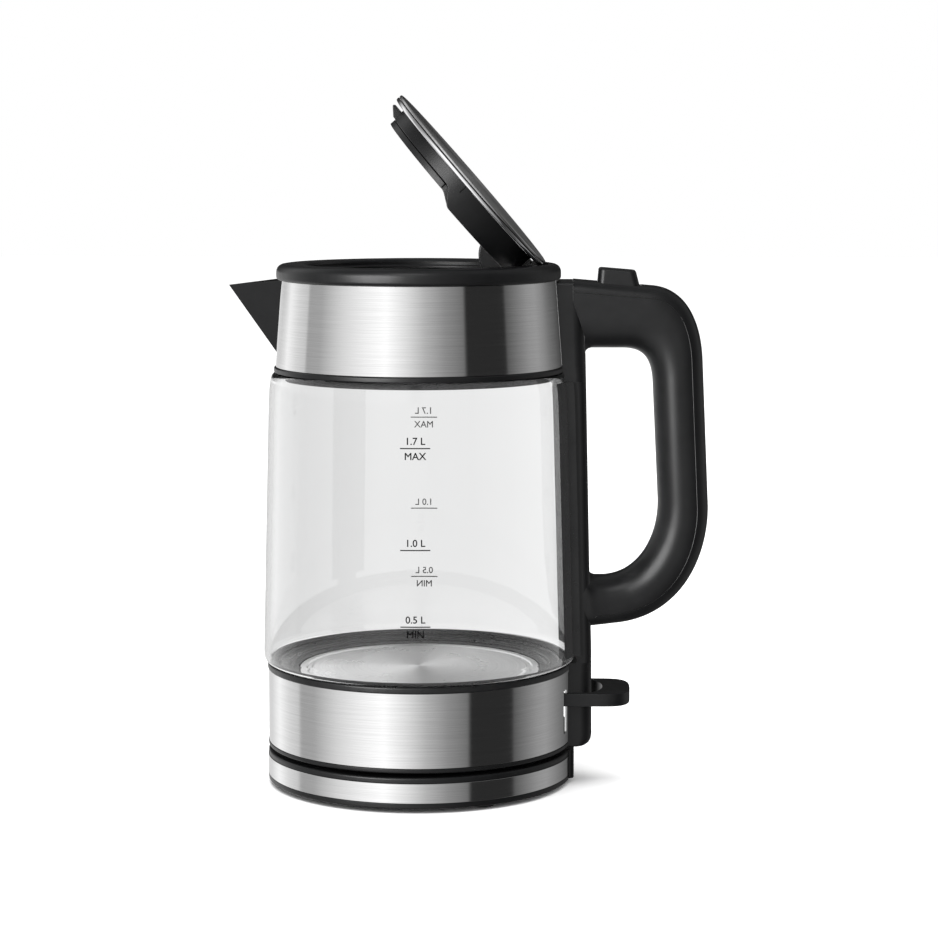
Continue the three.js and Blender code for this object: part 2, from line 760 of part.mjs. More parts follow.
function addLid() {
  const swing = new THREE.Group();
  swing.position.set(hinge.x, 0, hinge.z);
  swing.rotation.y = THREE.MathUtils.degToRad(lidOpen);
  const shut = new THREE.Group();
  shut.position.set(-hinge.x, 0, -hinge.z);
  swing.add(shut);
  kettle.add(swing);

  add('lid_top_disc', spin([
    [0, 244.5], [capRadius, 244.5], [capRadius, 245.4], [51, capTop], [0, capTop],
  ]), brushedSteel, shut);
  add('lid_trim_ring', spin([
    [46.5, capBottom], [51, capBottom], [capRadius, 242.8], [capRadius, 244.1], [46.5, 244.1],
  ]), polishedSteel, shut);
  add('lid_body', lidBody(), blackPlastic, shut);
  add('lid_inner_cover', lidInnerCover(), innerPlastic, shut);
  add('lid_hinge_arm', lidHingeArm(), innerPlastic, shut);
  add('latch_tongue', latchTongue(), blackPlastic, shut);
  const spring = coil(1.6, 0.35, 4, 0, 8).rotateY(Math.PI / 2).translate(-23.6, 0, 238.3);
  add('latch_spring', spring, polishedSteel, shut);
}

// ---------------------------------------------------------------- the kettle

addPowerBase();
addConnectorSocket();
addLowerJug();
addUpperJug();
addColumnAndHandle();
add('switch_lever', switchLever(), blackPlastic);
addLid();

export default kettle;
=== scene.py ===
"""Cordless glass electric kettle with its lid open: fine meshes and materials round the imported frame."""

import json
import math

import bmesh
import bpy
import numpy as np
from mathutils import Matrix, Vector

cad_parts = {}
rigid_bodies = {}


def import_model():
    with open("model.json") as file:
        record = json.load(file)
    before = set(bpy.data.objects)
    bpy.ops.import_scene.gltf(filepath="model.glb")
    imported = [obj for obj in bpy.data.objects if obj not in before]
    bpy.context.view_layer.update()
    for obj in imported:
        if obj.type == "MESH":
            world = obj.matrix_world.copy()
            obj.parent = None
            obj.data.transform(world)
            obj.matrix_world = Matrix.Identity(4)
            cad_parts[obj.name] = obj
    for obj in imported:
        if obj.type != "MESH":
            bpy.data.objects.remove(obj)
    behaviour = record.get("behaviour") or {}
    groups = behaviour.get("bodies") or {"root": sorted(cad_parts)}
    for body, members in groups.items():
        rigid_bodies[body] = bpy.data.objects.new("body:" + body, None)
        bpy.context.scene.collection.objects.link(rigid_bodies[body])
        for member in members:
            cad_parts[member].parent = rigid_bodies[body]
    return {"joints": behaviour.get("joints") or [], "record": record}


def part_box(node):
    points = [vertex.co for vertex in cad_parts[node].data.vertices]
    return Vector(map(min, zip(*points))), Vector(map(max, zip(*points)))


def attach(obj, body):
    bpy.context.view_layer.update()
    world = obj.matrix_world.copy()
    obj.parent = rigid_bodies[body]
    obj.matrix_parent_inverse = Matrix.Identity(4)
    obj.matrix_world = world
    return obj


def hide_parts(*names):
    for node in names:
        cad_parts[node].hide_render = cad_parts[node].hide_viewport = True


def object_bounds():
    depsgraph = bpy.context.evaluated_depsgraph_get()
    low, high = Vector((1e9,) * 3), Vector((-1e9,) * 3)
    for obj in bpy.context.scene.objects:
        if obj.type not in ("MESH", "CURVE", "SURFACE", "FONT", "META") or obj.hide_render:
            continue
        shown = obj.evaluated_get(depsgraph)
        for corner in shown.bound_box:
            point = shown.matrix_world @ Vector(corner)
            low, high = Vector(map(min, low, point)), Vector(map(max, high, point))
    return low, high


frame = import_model()
cad_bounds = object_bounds()

# ---------------------------------------------------------------- driving dimensions

# Every length below is in millimetres, in the frame of the CAD.
MM = 0.001
ROUND = 192                 # steps round the jug
SMALL = 48                  # steps round a pin or a foot
COIL_STEPS = 28             # steps round one turn of a spring
GAP = 0.3                   # clearance between pieces cut to each other
WALL = 0.8                  # sheet steel
PIN_BORE = 1.8              # radius of the bores for the hinge pin and the switch's pivot pin

LID_HINGE = next(joint for joint in frame["joints"] if joint["name"] == "lid_hinge")
HINGE_X = LID_HINGE["pos_m"][0] / MM
HINGE_Z = LID_HINGE["pos_m"][2] / MM
LID_OPEN = math.radians(-LID_HINGE["range_deg"][0])

BODY_OF = {
    node: body for body, nodes in frame["record"]["behaviour"]["bodies"].items() for node in nodes
}


def sizes(node):
    """The lowest and highest x, y and z of a CAD node at rest."""
    low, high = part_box(node)
    return [(low[axis] / MM, high[axis] / MM) for axis in range(3)]


def middle(node):
    """The centre of a CAD node at rest."""
    return [sum(reach) / 2 for reach in sizes(node)]


def ring_sizes(node):
    """The outer radius, bottom and top of a round CAD node."""
    y, z = sizes(node)[1:]
    return y[1], *z


# ---------------------------------------------------------------- outlines

def rounded(corners, steps=5, closed=True):
    """A polyline with its corners (u, v, radius) turned into arcs; a corner without a radius stays."""
    count = len(corners)
    points = []
    for at, corner in enumerate(corners):
        here = np.array(corner[:2], float)
        radius = corner[2] if len(corner) > 2 else 0
        if radius == 0 or (not closed and at in (0, count - 1)):
            points.append(tuple(here))
            continue
        to_last = np.array(corners[at - 1][:2], float) - here
        to_next = np.array(corners[(at + 1) % count][:2], float) - here
        reach = 0.48 * min(np.hypot(*to_last), np.hypot(*to_next))
        to_last = to_last / np.hypot(*to_last)
        to_next = to_next / np.hypot(*to_next)
        half = math.acos(max(-1.0, min(1.0, float(to_last @ to_next)))) / 2
        if half > 1.5:
            points.append(tuple(here))
            continue
        length = min(radius / math.tan(half), reach)
        radius = length * math.tan(half)
        middle = here + (to_last + to_next) / np.hypot(*(to_last + to_next)) * radius / math.sin(half)
        start = here + to_last * length - middle
        end = here + to_next * length - middle
        turn = math.atan2(start[0] * end[1] - start[1] * end[0], float(start @ end))
        for step in range(steps + 1):
            angle = turn * step / steps
            cos, sin = math.cos(angle), math.sin(angle)
            points.append((
                middle[0] + start[0] * cos - start[1] * sin,
                middle[1] + start[0] * sin + start[1] * cos,
            ))
    return points


def bezier(start, first, second, end, steps=24):
    """Points along a cubic curve, without its start."""
    start, first, second, end = (np.array(point, float) for point in (start, first, second, end))
    shares = [step / steps for step in range(1, steps + 1)]
    return [
        tuple((1 - t) ** 3 * start + 3 * (1 - t) ** 2 * t * first
              + 3 * (1 - t) * t ** 2 * second + t ** 3 * end)
        for t in shares
    ]


def straight(start, end, steps=12):
    """Points along a line, without its start."""
    start, end = np.array(start, float), np.array(end, float)
    return [tuple(start + (end - start) * step / steps) for step in range(1, steps + 1)]


def smooth_through(points, steps=6):
    """A Catmull-Rom curve through the points."""
    points = [np.array(point, float) for point in points]
    padded = [2 * points[0] - points[1], *points, 2 * points[-1] - points[-2]]
    curve = []
    for a, b, c, d in zip(padded, padded[1:], padded[2:], padded[3:]):
        for step in range(steps):
            t = step / steps
            curve.append(tuple(0.5 * (
                2 * b + (c - a) * t + (2 * a - 5 * b + 4 * c - d) * t ** 2
                + (3 * b - a - 3 * c + d) * t ** 3
            )))
    return [*curve, tuple(points[-1])]


def shifted(points, distance, closed=False):
    """The line moved to its left by distance."""
    points = np.array(points, float)
    ahead = np.roll(points, -1, 0) - points
    behind = points - np.roll(points, 1, 0)
    if not closed:
        ahead[-1] = behind[-1]
        behind[0] = ahead[0]
    ahead /= np.linalg.norm(ahead, axis=1)[:, None]
    behind /= np.linalg.norm(behind, axis=1)[:, None]
    turn_left = np.array([[0, 1], [-1, 0]])
    normal = ahead @ turn_left + behind @ turn_left
    spread = 1 + np.sum(ahead * behind, axis=1)
    return points + normal * (distance / spread)[:, None]


def anticlockwise(outline):
    points = np.array(outline, float)
    after = np.roll(points, -1, 0)
    area = np.sum(points[:, 0] * after[:, 1] - points[:, 1] * after[:, 0])
    return points if area > 0 else points[::-1]


def circle(radius, steps=SMALL, at=(0, 0)):
    angles = [2 * math.pi * step / steps for step in range(steps)]
    return [(at[0] + radius * math.cos(a), at[1] + radius * math.sin(a)) for a in angles]


def rectangle(x0, x1, y0, y1, radius=0.0, steps=5):
    return rounded([(x0, y0, radius), (x1, y0, radius), (x1, y1, radius), (x0, y1, radius)], steps)


# ---------------------------------------------------------------- meshes

def new_piece(name, mesh):
    piece = bpy.data.objects.new(name, mesh)
    bpy.context.scene.collection.objects.link(piece)
    return piece


def finished(work, name):
    """A new piece from a bmesh."""
    mesh = bpy.data.meshes.new(name)
    work.to_mesh(mesh)
    work.free()
    return new_piece(name, mesh)


def gathered(parts):
    """One bmesh with the meshes of several pieces, which it takes the place of."""
    work = bmesh.new()
    for part in parts:
        work.from_mesh(part.data)
        bpy.data.objects.remove(part)
    return work


def mesh_piece(name, points, faces):
    """A mesh object from points in millimetres, with its faces turned outwards."""
    mesh = bpy.data.meshes.new(name)
    mesh.from_pydata([(x * MM, y * MM, z * MM) for x, y, z in points], [], faces)
    work = bmesh.new()
    work.from_mesh(mesh)
    bmesh.ops.remove_doubles(work, verts=work.verts, dist=1e-7)
    bmesh.ops.recalc_face_normals(work, faces=work.faces)
    work.to_mesh(mesh)
    work.free()
    return new_piece(name, mesh)


def loft(name, rings, joined=False):
    """A skin over rings with equal counts of points, with flat ends or joined into a loop."""
    count = len(rings[0])
    points = [point for ring in rings for point in ring]
    faces = []
    spans = len(rings) if joined else len(rings) - 1
    for row in range(spans):
        here, there = row * count, (row + 1) % len(rings) * count
        for at in range(count):
            after = (at + 1) % count
            faces.append((here + at, here + after, there + after, there + at))
    if not joined:
        faces.append(tuple(range(count)))
        faces.append(tuple(range(len(points) - count, len(points))))
    return mesh_piece(name, points, faces)


def spin(name, corners, steps=ROUND):
    """A solid of revolution about Z. Corners are (radius, height, fillet), or a function of the angle."""
    profile_at = corners if callable(corners) else lambda angle: corners
    rings = []
    for step in range(steps):
        angle = 2 * math.pi * step / steps
        cos, sin = math.cos(angle), math.sin(angle)
        rings.append([(r * cos, r * sin, z) for r, z in rounded(profile_at(angle))])
    return loft(name, rings, joined=True)


def sleeve(name, inner, outer, low, high, fillet=0.1, steps=SMALL):
    return spin(name, [
        (inner, low, fillet), (outer, low, fillet), (outer, high, fillet), (inner, high, fillet),
    ], steps)


PLACES = {
    "x": lambda u, v, w: (w, u, v),
    "y": lambda u, v, w: (u, w, v),
    "z": lambda u, v, w: (u, v, w),
}


def slab(name, axis, outline, low, high, fillet=0.0, steps=4):
    """An outline extruded along an axis with round rims. It is drawn in (y, z), (x, z) or (x, y)."""
    outline = anticlockwise(outline)
    place = PLACES[axis]
    rims = [(0.0, 0.0)]
    if fillet > 0:
        angles = [math.pi / 2 * step / steps for step in range(steps + 1)]
        rims = [(fillet * (1 - math.sin(a)), fillet * (1 - math.cos(a))) for a in angles]
    levels = [(inset, low + rise) for inset, rise in rims]
    levels += [(inset, high - rise) for inset, rise in reversed(rims)]
    rings = []
    for inset, level in levels:
        ring = shifted(outline, inset, closed=True) if inset > 0 else outline
        rings.append([place(u, v, level) for u, v in ring])
    return loft(name, rings)


def box(name, x0, x1, y0, y1, z0, z1, fillet=0.0):
    return slab(name, "z", rectangle(x0, x1, y0, y1, fillet, 4), z0, z1, fillet * 0.9)


def rod(name, axis, radius, low, high, at=(0, 0), fillet=0.0, steps=SMALL):
    """A pin along an axis. Its centre is given as (y, z), (x, z) or (x, y)."""
    return slab(name, axis, circle(radius, steps, at), low, high, fillet, 3)


def hull(name, points):
    """The tightest convex solid round the points."""
    work = bmesh.new()
    for point in points:
        work.verts.new([value * MM for value in point])
    result = bmesh.ops.convex_hull(work, input=work.verts)
    bmesh.ops.delete(work, geom=result["geom_interior"], context="VERTS")
    return finished(work, name)


def bent_wire(name, radius, wire, angles, heights, sides):
    """A round wire bent about Z through a list of angles and heights, with closed ends."""
    rings = []
    for angle, height in zip(angles, heights):
        ring = []
        for side in range(sides):
            around = 2 * math.pi * side / sides
            reach = radius + wire * math.cos(around)
            ring.append((
                reach * math.cos(angle), reach * math.sin(angle), height + wire * math.sin(around),
            ))
        rings.append(ring)
    return loft(name, rings)


def coil(name, radius, wire, turns, low, high):
    """A spring: a round wire along a helix about Z."""
    steps = turns * COIL_STEPS
    angles = [2 * math.pi * step / COIL_STEPS for step in range(steps + 1)]
    heights = [low + (high - low) * step / steps for step in range(steps + 1)]
    return bent_wire(name, radius, wire, angles, heights, 10)


def bake(piece):
    """Turns the piece's modifiers into its mesh."""
    scene_state = bpy.context.evaluated_depsgraph_get()
    mesh = bpy.data.meshes.new_from_object(piece.evaluated_get(scene_state))
    piece.modifiers.clear()
    piece.data = mesh
    return piece


def combine(piece, tools, operation):
    for tool in tools:
        change = piece.modifiers.new(operation, "BOOLEAN")
        change.operation = operation
        change.solver = "MANIFOLD"
        change.object = tool
    bake(piece)
    for tool in tools:
        bpy.data.objects.remove(tool)
    return piece


def cut(piece, *tools):
    return combine(piece, tools, "DIFFERENCE")


def join(piece, *tools):
    return combine(piece, tools, "UNION")


def common(piece, *tools):
    return combine(piece, tools, "INTERSECT")


def bevelled(piece, width, degrees=30):
    """Rounds the piece's sharp edges."""
    change = piece.modifiers.new("bevel", "BEVEL")
    change.width = width * MM
    change.segments = 3
    change.limit_method = "ANGLE"
    change.angle_limit = math.radians(degrees)
    return bake(piece)


def moved(piece, x=0.0, y=0.0, z=0.0):
    piece.data.transform(Matrix.Translation((x * MM, y * MM, z * MM)))
    return piece


def opened(piece, angle=LID_OPEN):
    """Turns a piece drawn with the lid shut about the lid's hinge."""
    hinge = Vector((HINGE_X, 0, HINGE_Z)) * MM
    swing = Matrix.Translation(hinge) @ Matrix.Rotation(angle, 4, "Y") @ Matrix.Translation(-hinge)
    piece.data.transform(swing)
    return piece


def shade(piece, sharp=32):
    """Smooth faces with crisp edges, and normals that follow the large faces."""
    for face in piece.data.polygons:
        face.use_smooth = True
    piece.data.set_sharp_from_angle(angle=math.radians(sharp))
    even = piece.modifiers.new("even", "WEIGHTED_NORMAL")
    even.keep_sharp = True
    even.weight = 60
    return bake(piece)


# ---------------------------------------------------------------- materials

def new_look(name, **settings):
    look = bpy.data.materials.new(name)
    look.use_nodes = True
    shader = look.node_tree.nodes["Principled BSDF"]
    for socket, value in settings.items():
        shader.inputs[socket.replace("_", " ")].default_value = value
    return look


def add_node(look, kind, **settings):
    node = look.node_tree.nodes.new(kind)
    for name, value in settings.items():
        setattr(node, name, value)
    return node


def link(look, output, target):
    look.node_tree.links.new(output, target)


def object_noise(look, scale, stretch=(1, 1, 1), detail=3.0):
    """Noise in the object's own space; stretch makes it finer along an axis."""
    place = add_node(look, "ShaderNodeTexCoord")
    spread = add_node(look, "ShaderNodeMapping")
    spread.inputs["Scale"].default_value = stretch
    noise = add_node(look, "ShaderNodeTexNoise")
    noise.inputs["Scale"].default_value = scale
    noise.inputs["Detail"].default_value = detail
    link(look, place.outputs["Object"], spread.inputs["Vector"])
    link(look, spread.outputs["Vector"], noise.inputs["Vector"])
    return noise.outputs["Fac"]


def feed(look, output, socket):
    """Links an output to the look's shader."""
    link(look, output, look.node_tree.nodes["Principled BSDF"].inputs[socket])


def ranged(look, value, from_low, from_high, low=0.0, high=1.0, smooth=False):
    """Maps a value from one range to another, evenly or with soft ends."""
    spread = add_node(
        look, "ShaderNodeMapRange", interpolation_type="SMOOTHSTEP" if smooth else "LINEAR",
    )
    limits = {"From Min": from_low, "From Max": from_high, "To Min": low, "To Max": high}
    for socket, limit in limits.items():
        spread.inputs[socket].default_value = limit
    link(look, value, spread.inputs["Value"])
    return spread.outputs["Result"]


def vary(look, value, socket, low, high):
    """Maps a noise to the range of a shader socket."""
    feed(look, ranged(look, value, 0.3, 0.7, low, high), socket)


def tint(look, value, dark, light):
    """Mixes two colours by a noise into the shader's base colour."""
    ramp = add_node(look, "ShaderNodeValToRGB")
    for stop, position, colour in zip(ramp.color_ramp.elements, (0.3, 0.7), (dark, light)):
        stop.position = position
        stop.color = (*colour, 1)
    link(look, value, ramp.inputs["Fac"])
    feed(look, ramp.outputs["Color"], "Base Color")


def relief(look, value, depth, strength=1.0):
    """A bump from a noise; depth is in millimetres."""
    bump = add_node(look, "ShaderNodeBump")
    bump.inputs["Strength"].default_value = strength
    bump.inputs["Distance"].default_value = depth * MM
    link(look, value, bump.inputs["Height"])
    feed(look, bump.outputs["Normal"], "Normal")


def drawn_round(look):
    """Draws the highlights of a steel look out across its marks, which run round Z."""
    tangent = add_node(look, "ShaderNodeTangent", direction_type="RADIAL", axis="Z")
    feed(look, tangent.outputs["Tangent"], "Tangent")


def grey(level):
    return (level, level, level)


def moulded(name, dark, light, rough_low, rough_high, shine=0.25):
    """Moulded plastic or rubber: fine grain, and slight changes of colour and gloss."""
    look = new_look(name, Specular_IOR_Level=shine)
    tint(look, object_noise(look, 60), dark, light)
    vary(look, object_noise(look, 240), "Roughness", rough_low, rough_high)
    relief(look, object_noise(look, 1600, detail=2.0), 0.004, 0.4)
    return look


def brushed(name, dark, light, rough_low, rough_high):
    """Steel brushed round the jug: fine level streaks and a highlight drawn out upright."""
    look = new_look(name, Metallic=1.0, Anisotropic=1.0, Anisotropic_Rotation=0.25)
    fine = object_noise(look, 1.0, (34, 34, 4200), detail=4.0)
    tint(look, fine, dark, light)
    vary(look, object_noise(look, 1.0, (30, 30, 900)), "Roughness", rough_low, rough_high)
    relief(look, fine, 0.003, 0.2)
    drawn_round(look)
    return look


def lathe_turned(name, dark, light, rough_low, rough_high):
    """Steel turned on a lathe: fine rings about Z and a bow-tie highlight."""
    look = new_look(name, Metallic=1.0, Anisotropic=0.9, Anisotropic_Rotation=0.25)
    place = add_node(look, "ShaderNodeTexCoord")
    flat = add_node(look, "ShaderNodeVectorMath", operation="MULTIPLY")
    flat.inputs[1].default_value = (1, 1, 0)
    length = add_node(look, "ShaderNodeVectorMath", operation="LENGTH")
    noise = add_node(look, "ShaderNodeTexNoise", noise_dimensions="1D")
    noise.inputs["Scale"].default_value = 900
    noise.inputs["Detail"].default_value = 2
    link(look, place.outputs["Object"], flat.inputs[0])
    link(look, flat.outputs["Vector"], length.inputs[0])
    link(look, length.outputs["Value"], noise.inputs["W"])
    tint(look, noise.outputs["Fac"], dark, light)
    vary(look, object_noise(look, 60), "Roughness", rough_low, rough_high)
    relief(look, noise.outputs["Fac"], 0.0005, 0.1)
    drawn_round(look)
    return look


def polished(name, dark, light, rough_low, rough_high):
    """Bright metal with faint smears and scratches."""
    look = new_look(name, Metallic=1.0)
    tint(look, object_noise(look, 80), dark, light)
    vary(look, object_noise(look, 300, (1, 1, 4)), "Roughness", rough_low, rough_high)
    relief(look, object_noise(look, 900), 0.002, 0.2)
    return look


def clear_glass(name):
    """Borosilicate glass with a faint wave and hardly any smears."""
    look = new_look(name, IOR=1.47, Transmission_Weight=1.0)
    tint(look, object_noise(look, 20), (0.985, 0.987, 0.987), (0.995, 0.997, 0.997))
    vary(look, object_noise(look, 90), "Roughness", 0.0, 0.012)
    relief(look, object_noise(look, 12, detail=0.0), 0.02, 0.05)
    return look


LOOKS = {
    "black_plastic": moulded("black_plastic_look", (0.0034, 0.0035, 0.0037), (0.0046, 0.0047, 0.0050),
                             0.31, 0.36),
    "inner_plastic": moulded("inner_plastic_look", (0.005, 0.0051, 0.0053), (0.008, 0.0081, 0.0083),
                             0.26, 0.34),
    "brushed_steel": brushed("brushed_steel_look", grey(0.66), grey(0.76), 0.12, 0.17),
    "plate_steel": lathe_turned("plate_steel_look", grey(0.62), grey(0.72), 0.26, 0.34),
    "polished_steel": polished("polished_steel_look", (0.78, 0.78, 0.79), (0.86, 0.86, 0.87), 0.05, 0.12),
    "glass": clear_glass("glass_look"),
    "silicone": moulded("silicone_look", (0.02, 0.02, 0.021), (0.03, 0.03, 0.031), 0.5, 0.6),
    "rubber": moulded("rubber_look", grey(0.010), grey(0.016), 0.7, 0.85),
    "brass": polished("brass_look", (0.66, 0.46, 0.2), (0.78, 0.58, 0.28), 0.2, 0.32),
    "aluminium": polished("aluminium_look", (0.55, 0.56, 0.57), (0.66, 0.67, 0.68), 0.4, 0.55),
}
# The lid's top disc: steel turned on a lathe and rougher than the bands, with its colour painted darker
# than theirs. The darker colour is painted shade for the grey the disc shows when seen almost edge-on.
SHADED_LID_STEEL = lathe_turned("shaded_lid_steel_look", grey(0.55), grey(0.65), 0.32, 0.4)
INK = moulded("ink_look", grey(0.002), grey(0.004), 0.45, 0.6, shine=0.08)


def fit(piece, node, slot, sharp=32, look=None):
    """Finishes a piece that stands for a CAD node: shading, the material of its slot, name and body."""
    shade(piece, sharp)
    piece.name = node + "_fine"
    piece.data.name = piece.name
    piece.data.materials.clear()
    piece.data.materials.append(look or LOOKS[slot])
    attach(piece, BODY_OF[node])
    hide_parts(node)


def round_piece(node, slot, corners, steps=ROUND):
    """A solid of revolution for a round CAD node. Its corners follow from its radius and heights."""
    fit(spin(node, corners(*ring_sizes(node)), steps), node, slot)


# ---------------------------------------------------------------- power base

def outlet_notch():
    x, y, z = sizes("cord_outlet")
    return box("notch", x[0] - GAP, x[1] + 5, y[0] - GAP, y[1] + GAP, -1, z[1] + 2)


def base_bottom_cover():
    radius, low, high = ring_sizes("base_bottom_cover")
    dish = spin("dish", [
        (0, low), (30, low, 0.2), (30.6, low + 0.6, 0.2), (32, low + 0.6, 0.2), (32.6, low, 0.2),
        (radius, low, 0.7), (radius, low + 2.5, 0.25), (radius - 1.2, low + 2.5, 0.1),
        (radius - 1.2, high, 0.2), (radius - 2.8, high, 0.2), (radius - 2.8, low + 2.2, 0.4),
        (0, low + 2.2),
    ])
    holes = []
    for index in range(3):
        at = middle(f"base_screw_{index + 1}")[:2]
        holes += [rod("hole", "z", 3.6, -1, 1.4, at), rod("hole", "z", 1.8, 1, 3, at)]
    fit(cut(dish, outlet_notch(), *holes), "base_bottom_cover", "black_plastic")


def base_steel_band():
    radius, low, high = ring_sizes("base_steel_band")
    band = sleeve("band", radius - WALL, radius, low, high, 0.25, ROUND)
    fit(cut(band, outlet_notch()), "base_steel_band", "brushed_steel")


def base_top_cover():
    radius, low, high = ring_sizes("base_top_cover")
    plate = spin("plate", [
        (17.3, high - 2.4, 0.2), (radius - 3, high - 2.4, 0.3), (radius - 3, low, 0.2),
        (radius - 1, low, 0.2), (radius - 1, high - 2.6, 0.1), (radius, high - 2.6, 0.25),
        (radius, high, 1.0), (26, high, 0.4), (24.8, high - 0.8, 0.3), (17.3, high - 0.8, 0.4),
    ])
    grooves = [
        sleeve("groove", r, r + 0.7, high - 0.35, high + 1, 0.1, ROUND) for r in (56.0, 63.0)
    ]
    fit(cut(plate, outlet_notch(), *grooves), "base_top_cover", "black_plastic")


def cord_outlet():
    x, y, z = sizes("cord_outlet")
    outline = rounded([
        (x[0], y[0]), (x[1], y[0], 2.0), (x[1], y[1], 2.0), (x[0], y[1]),
    ], 8)
    block = slab("block", "z", outline, z[0], z[1], 0.8)
    bore = rod("bore", "x", 3.6, x[0] - 1, x[1] + 1, (0, 7.3))
    ring = rod("ring", "x", 4.4, x[1] - 0.5, x[1] + 1, (0, 7.3))
    fit(cut(block, bore, ring), "cord_outlet", "black_plastic")


def base_connector():
    round_piece("base_connector", "inner_plastic", lambda radius, low, high: [
        (2.3, low), (radius, low), (radius, high, 0.8), (12.9, high, 0.3), (12.9, 10),
        (10.9, 10), (10.9, high, 0.4), (6.6, high, 0.4), (6.6, 10), (4.6, 10), (4.6, high, 0.4),
        (2.3, high, 0.4),
    ], 96)


def contact(node, wall):
    radius, low, high = ring_sizes(node)
    fit(sleeve("contact", radius - wall, radius, low, high, 0.12, 96), node, "brass")


def earth_pin():
    round_piece("earth_pin", "brass", lambda radius, low, high: [
        (0, low), (radius, low), (radius, high - 1.5, 0.4), (1.2, high, 0.6), (0, high),
    ], 32)


def rubber_foot(node):
    low, high = sizes(node)[2]
    pad = spin("pad", [
        (0, low + 0.3), (3.6, low + 0.3, 0.3), (4.0, low, 0.3), (5.6, low, 0.5), (6, low + 0.7, 0.3),
        (6, high), (0, high),
    ], SMALL)
    fit(moved(pad, *middle(node)[:2]), node, "rubber")


def screw_head(name, radius, low, high, slot_depth):
    """A round head that opens downwards, with a cross recess."""
    head = spin(name, [
        (0, low), (radius, low, 0.35), (radius, low + 0.8, 0.1), (1.4, low + 1.0), (1.4, high - 0.6),
        (0, high),
    ], 32)
    long, short = radius * 0.62, 0.35
    for reach, half in ((long, short), (short, long)):
        head = cut(head, box("arm", -reach, reach, -half, half, low - 1, low + slot_depth))
    return head


def base_screw(node):
    screw = screw_head("screw", 3.2, *sizes(node)[2], 0.6)
    fit(moved(screw, *middle(node)[:2]), node, "polished_steel")


def power_base():
    base_bottom_cover()
    base_steel_band()
    base_top_cover()
    cord_outlet()
    base_connector()
    contact("contact_ring_outer", 0.4)
    contact("contact_ring_inner", 0.4)
    earth_pin()
    for index in range(3):
        rubber_foot(f"rubber_foot_{index + 1}")
        base_screw(f"base_screw_{index + 1}")


# ---------------------------------------------------------------- connector under the jug

def connector_socket():
    round_piece("connector_socket", "inner_plastic", lambda radius, low, high: [
        (17.9, low, 0.5), (radius, low, 0.5), (radius, high, 0.4), (0, high), (0, high - 2),
        (17.9, high - 2, 0.3),
    ], 96)


def socket():
    connector_socket()
    contact("socket_blade_outer", 0.5)
    contact("socket_blade_inner", 0.5)


# ---------------------------------------------------------------- lower jug

def jug_bottom_cover():
    round_piece("jug_bottom_cover", "black_plastic", lambda radius, low, high: [
        (22.2, low, 0.5), (30, low, 0.2), (30.5, low + 0.5, 0.2), (34, low + 0.5, 0.2), (34.5, low, 0.2),
        (radius, low, 0.9), (radius, low + 2.1, 0.3), (radius - 1.4, low + 2.1, 0.1),
        (radius - 1.4, 23.6, 0.2), (radius - 2.9, 23.6, 0.2), (radius - 2.9, low + 2.0, 0.4),
        (24, low + 2.0, 0.4), (24, high, 0.3), (22.2, high, 0.3),
    ])


def lower_steel_band():
    radius, low, high = ring_sizes("lower_steel_band")
    band = sleeve("band", radius - WALL, radius, low, high, 0.25, ROUND)
    slots = [slab("slot", "x", rectangle(y, y + 4.7, 24, 45.2, 1), 60, 80) for y in (-20.5, 15.8)]
    fit(cut(band, *slots), "lower_steel_band", "brushed_steel")


def glass_seat_ring():
    round_piece("glass_seat_ring", "inner_plastic", lambda radius, low, high: [
        (57.7, low, 0.2), (radius - 1.7, low, 0.2), (radius - 1.7, low + 3.4, 0.1),
        (radius, low + 3.4, 0.4), (radius, high, 1.0), (67, high, 0.4), (66.2, 55.5, 0.4),
        (62.6, 55.1, 0.3), (62.0, 54.6, 0.25), (60.9, 54.5, 0.3), (60.2, 53.7, 0.3), (57.7, 53.3, 0.25),
    ])


def lower_glass_seal():
    round_piece("lower_glass_seal", "silicone", lambda radius, low, high: [
        (67.2, low, 0.2), (69.4, low, 0.3), (radius, high - 1, 0.3), (69, high - 1, 0.3),
        (67.2, low + 0.6, 0.2),
    ])


def heating_plate():
    round_piece("heating_plate", "plate_steel", lambda radius, low, high: [
        (0, low), (radius, low, 0.3), (radius, high, 0.5), (54.2, high, 0.3), (53.4, high - 0.5, 0.4),
        (51.6, high - 0.5, 0.4), (50.8, high - 0.1, 0.4), (0, high - 0.1),
    ])


def heat_spreader():
    round_piece("heat_spreader", "aluminium", lambda radius, low, high: [
        (0, low), (radius, low, 0.3), (radius, high, 0.3), (0, high),
    ], 96)


def heating_element():
    """A wire bent into a horseshoe, open towards the handle."""
    y, z = sizes("heating_element")[1:]
    wire, opening, steps = (z[1] - z[0]) / 2, 0.7, 96
    angles = [opening + (2 * math.pi - 2 * opening) * step / steps for step in range(steps + 1)]
    heights = [(z[0] + z[1]) / 2] * len(angles)
    element = bent_wire("element", y[1] - wire, wire, angles, heights, 20)
    fit(element, "heating_element", "aluminium")


def pivot_bore():
    x, _, z = middle("switch_pivot_pin")
    return rod("bore", "y", PIN_BORE, -30, 30, (x, z))


def thermostat_control():
    z = sizes("thermostat_control")[2]
    body = slab("body", "z", rounded([
        (-28, -18, 1.5), (-20, -24, 1.5), (22, -24, 1.5), (31, -16, 1.5), (31, 16, 1.5), (22, 24, 1.5),
        (-20, 24, 1.5), (-28, 18, 1.5),
    ]), z[0], 41, 0.6)
    ears = [box("ear", 14, 42.5, low, low + 3, 36, z[1], 0.4) for low in (-23.4, 20.4)]
    fit(cut(join(body, *ears), pivot_bore()), "thermostat_control", "inner_plastic")


def boil_dry_disc():
    round_piece("boil_dry_disc", "brass", lambda radius, low, high: [
        (0, low), (radius, low, 0.2), (radius, high - 0.3, 0.2), (6, high, 0.6), (0, high),
    ], 64)


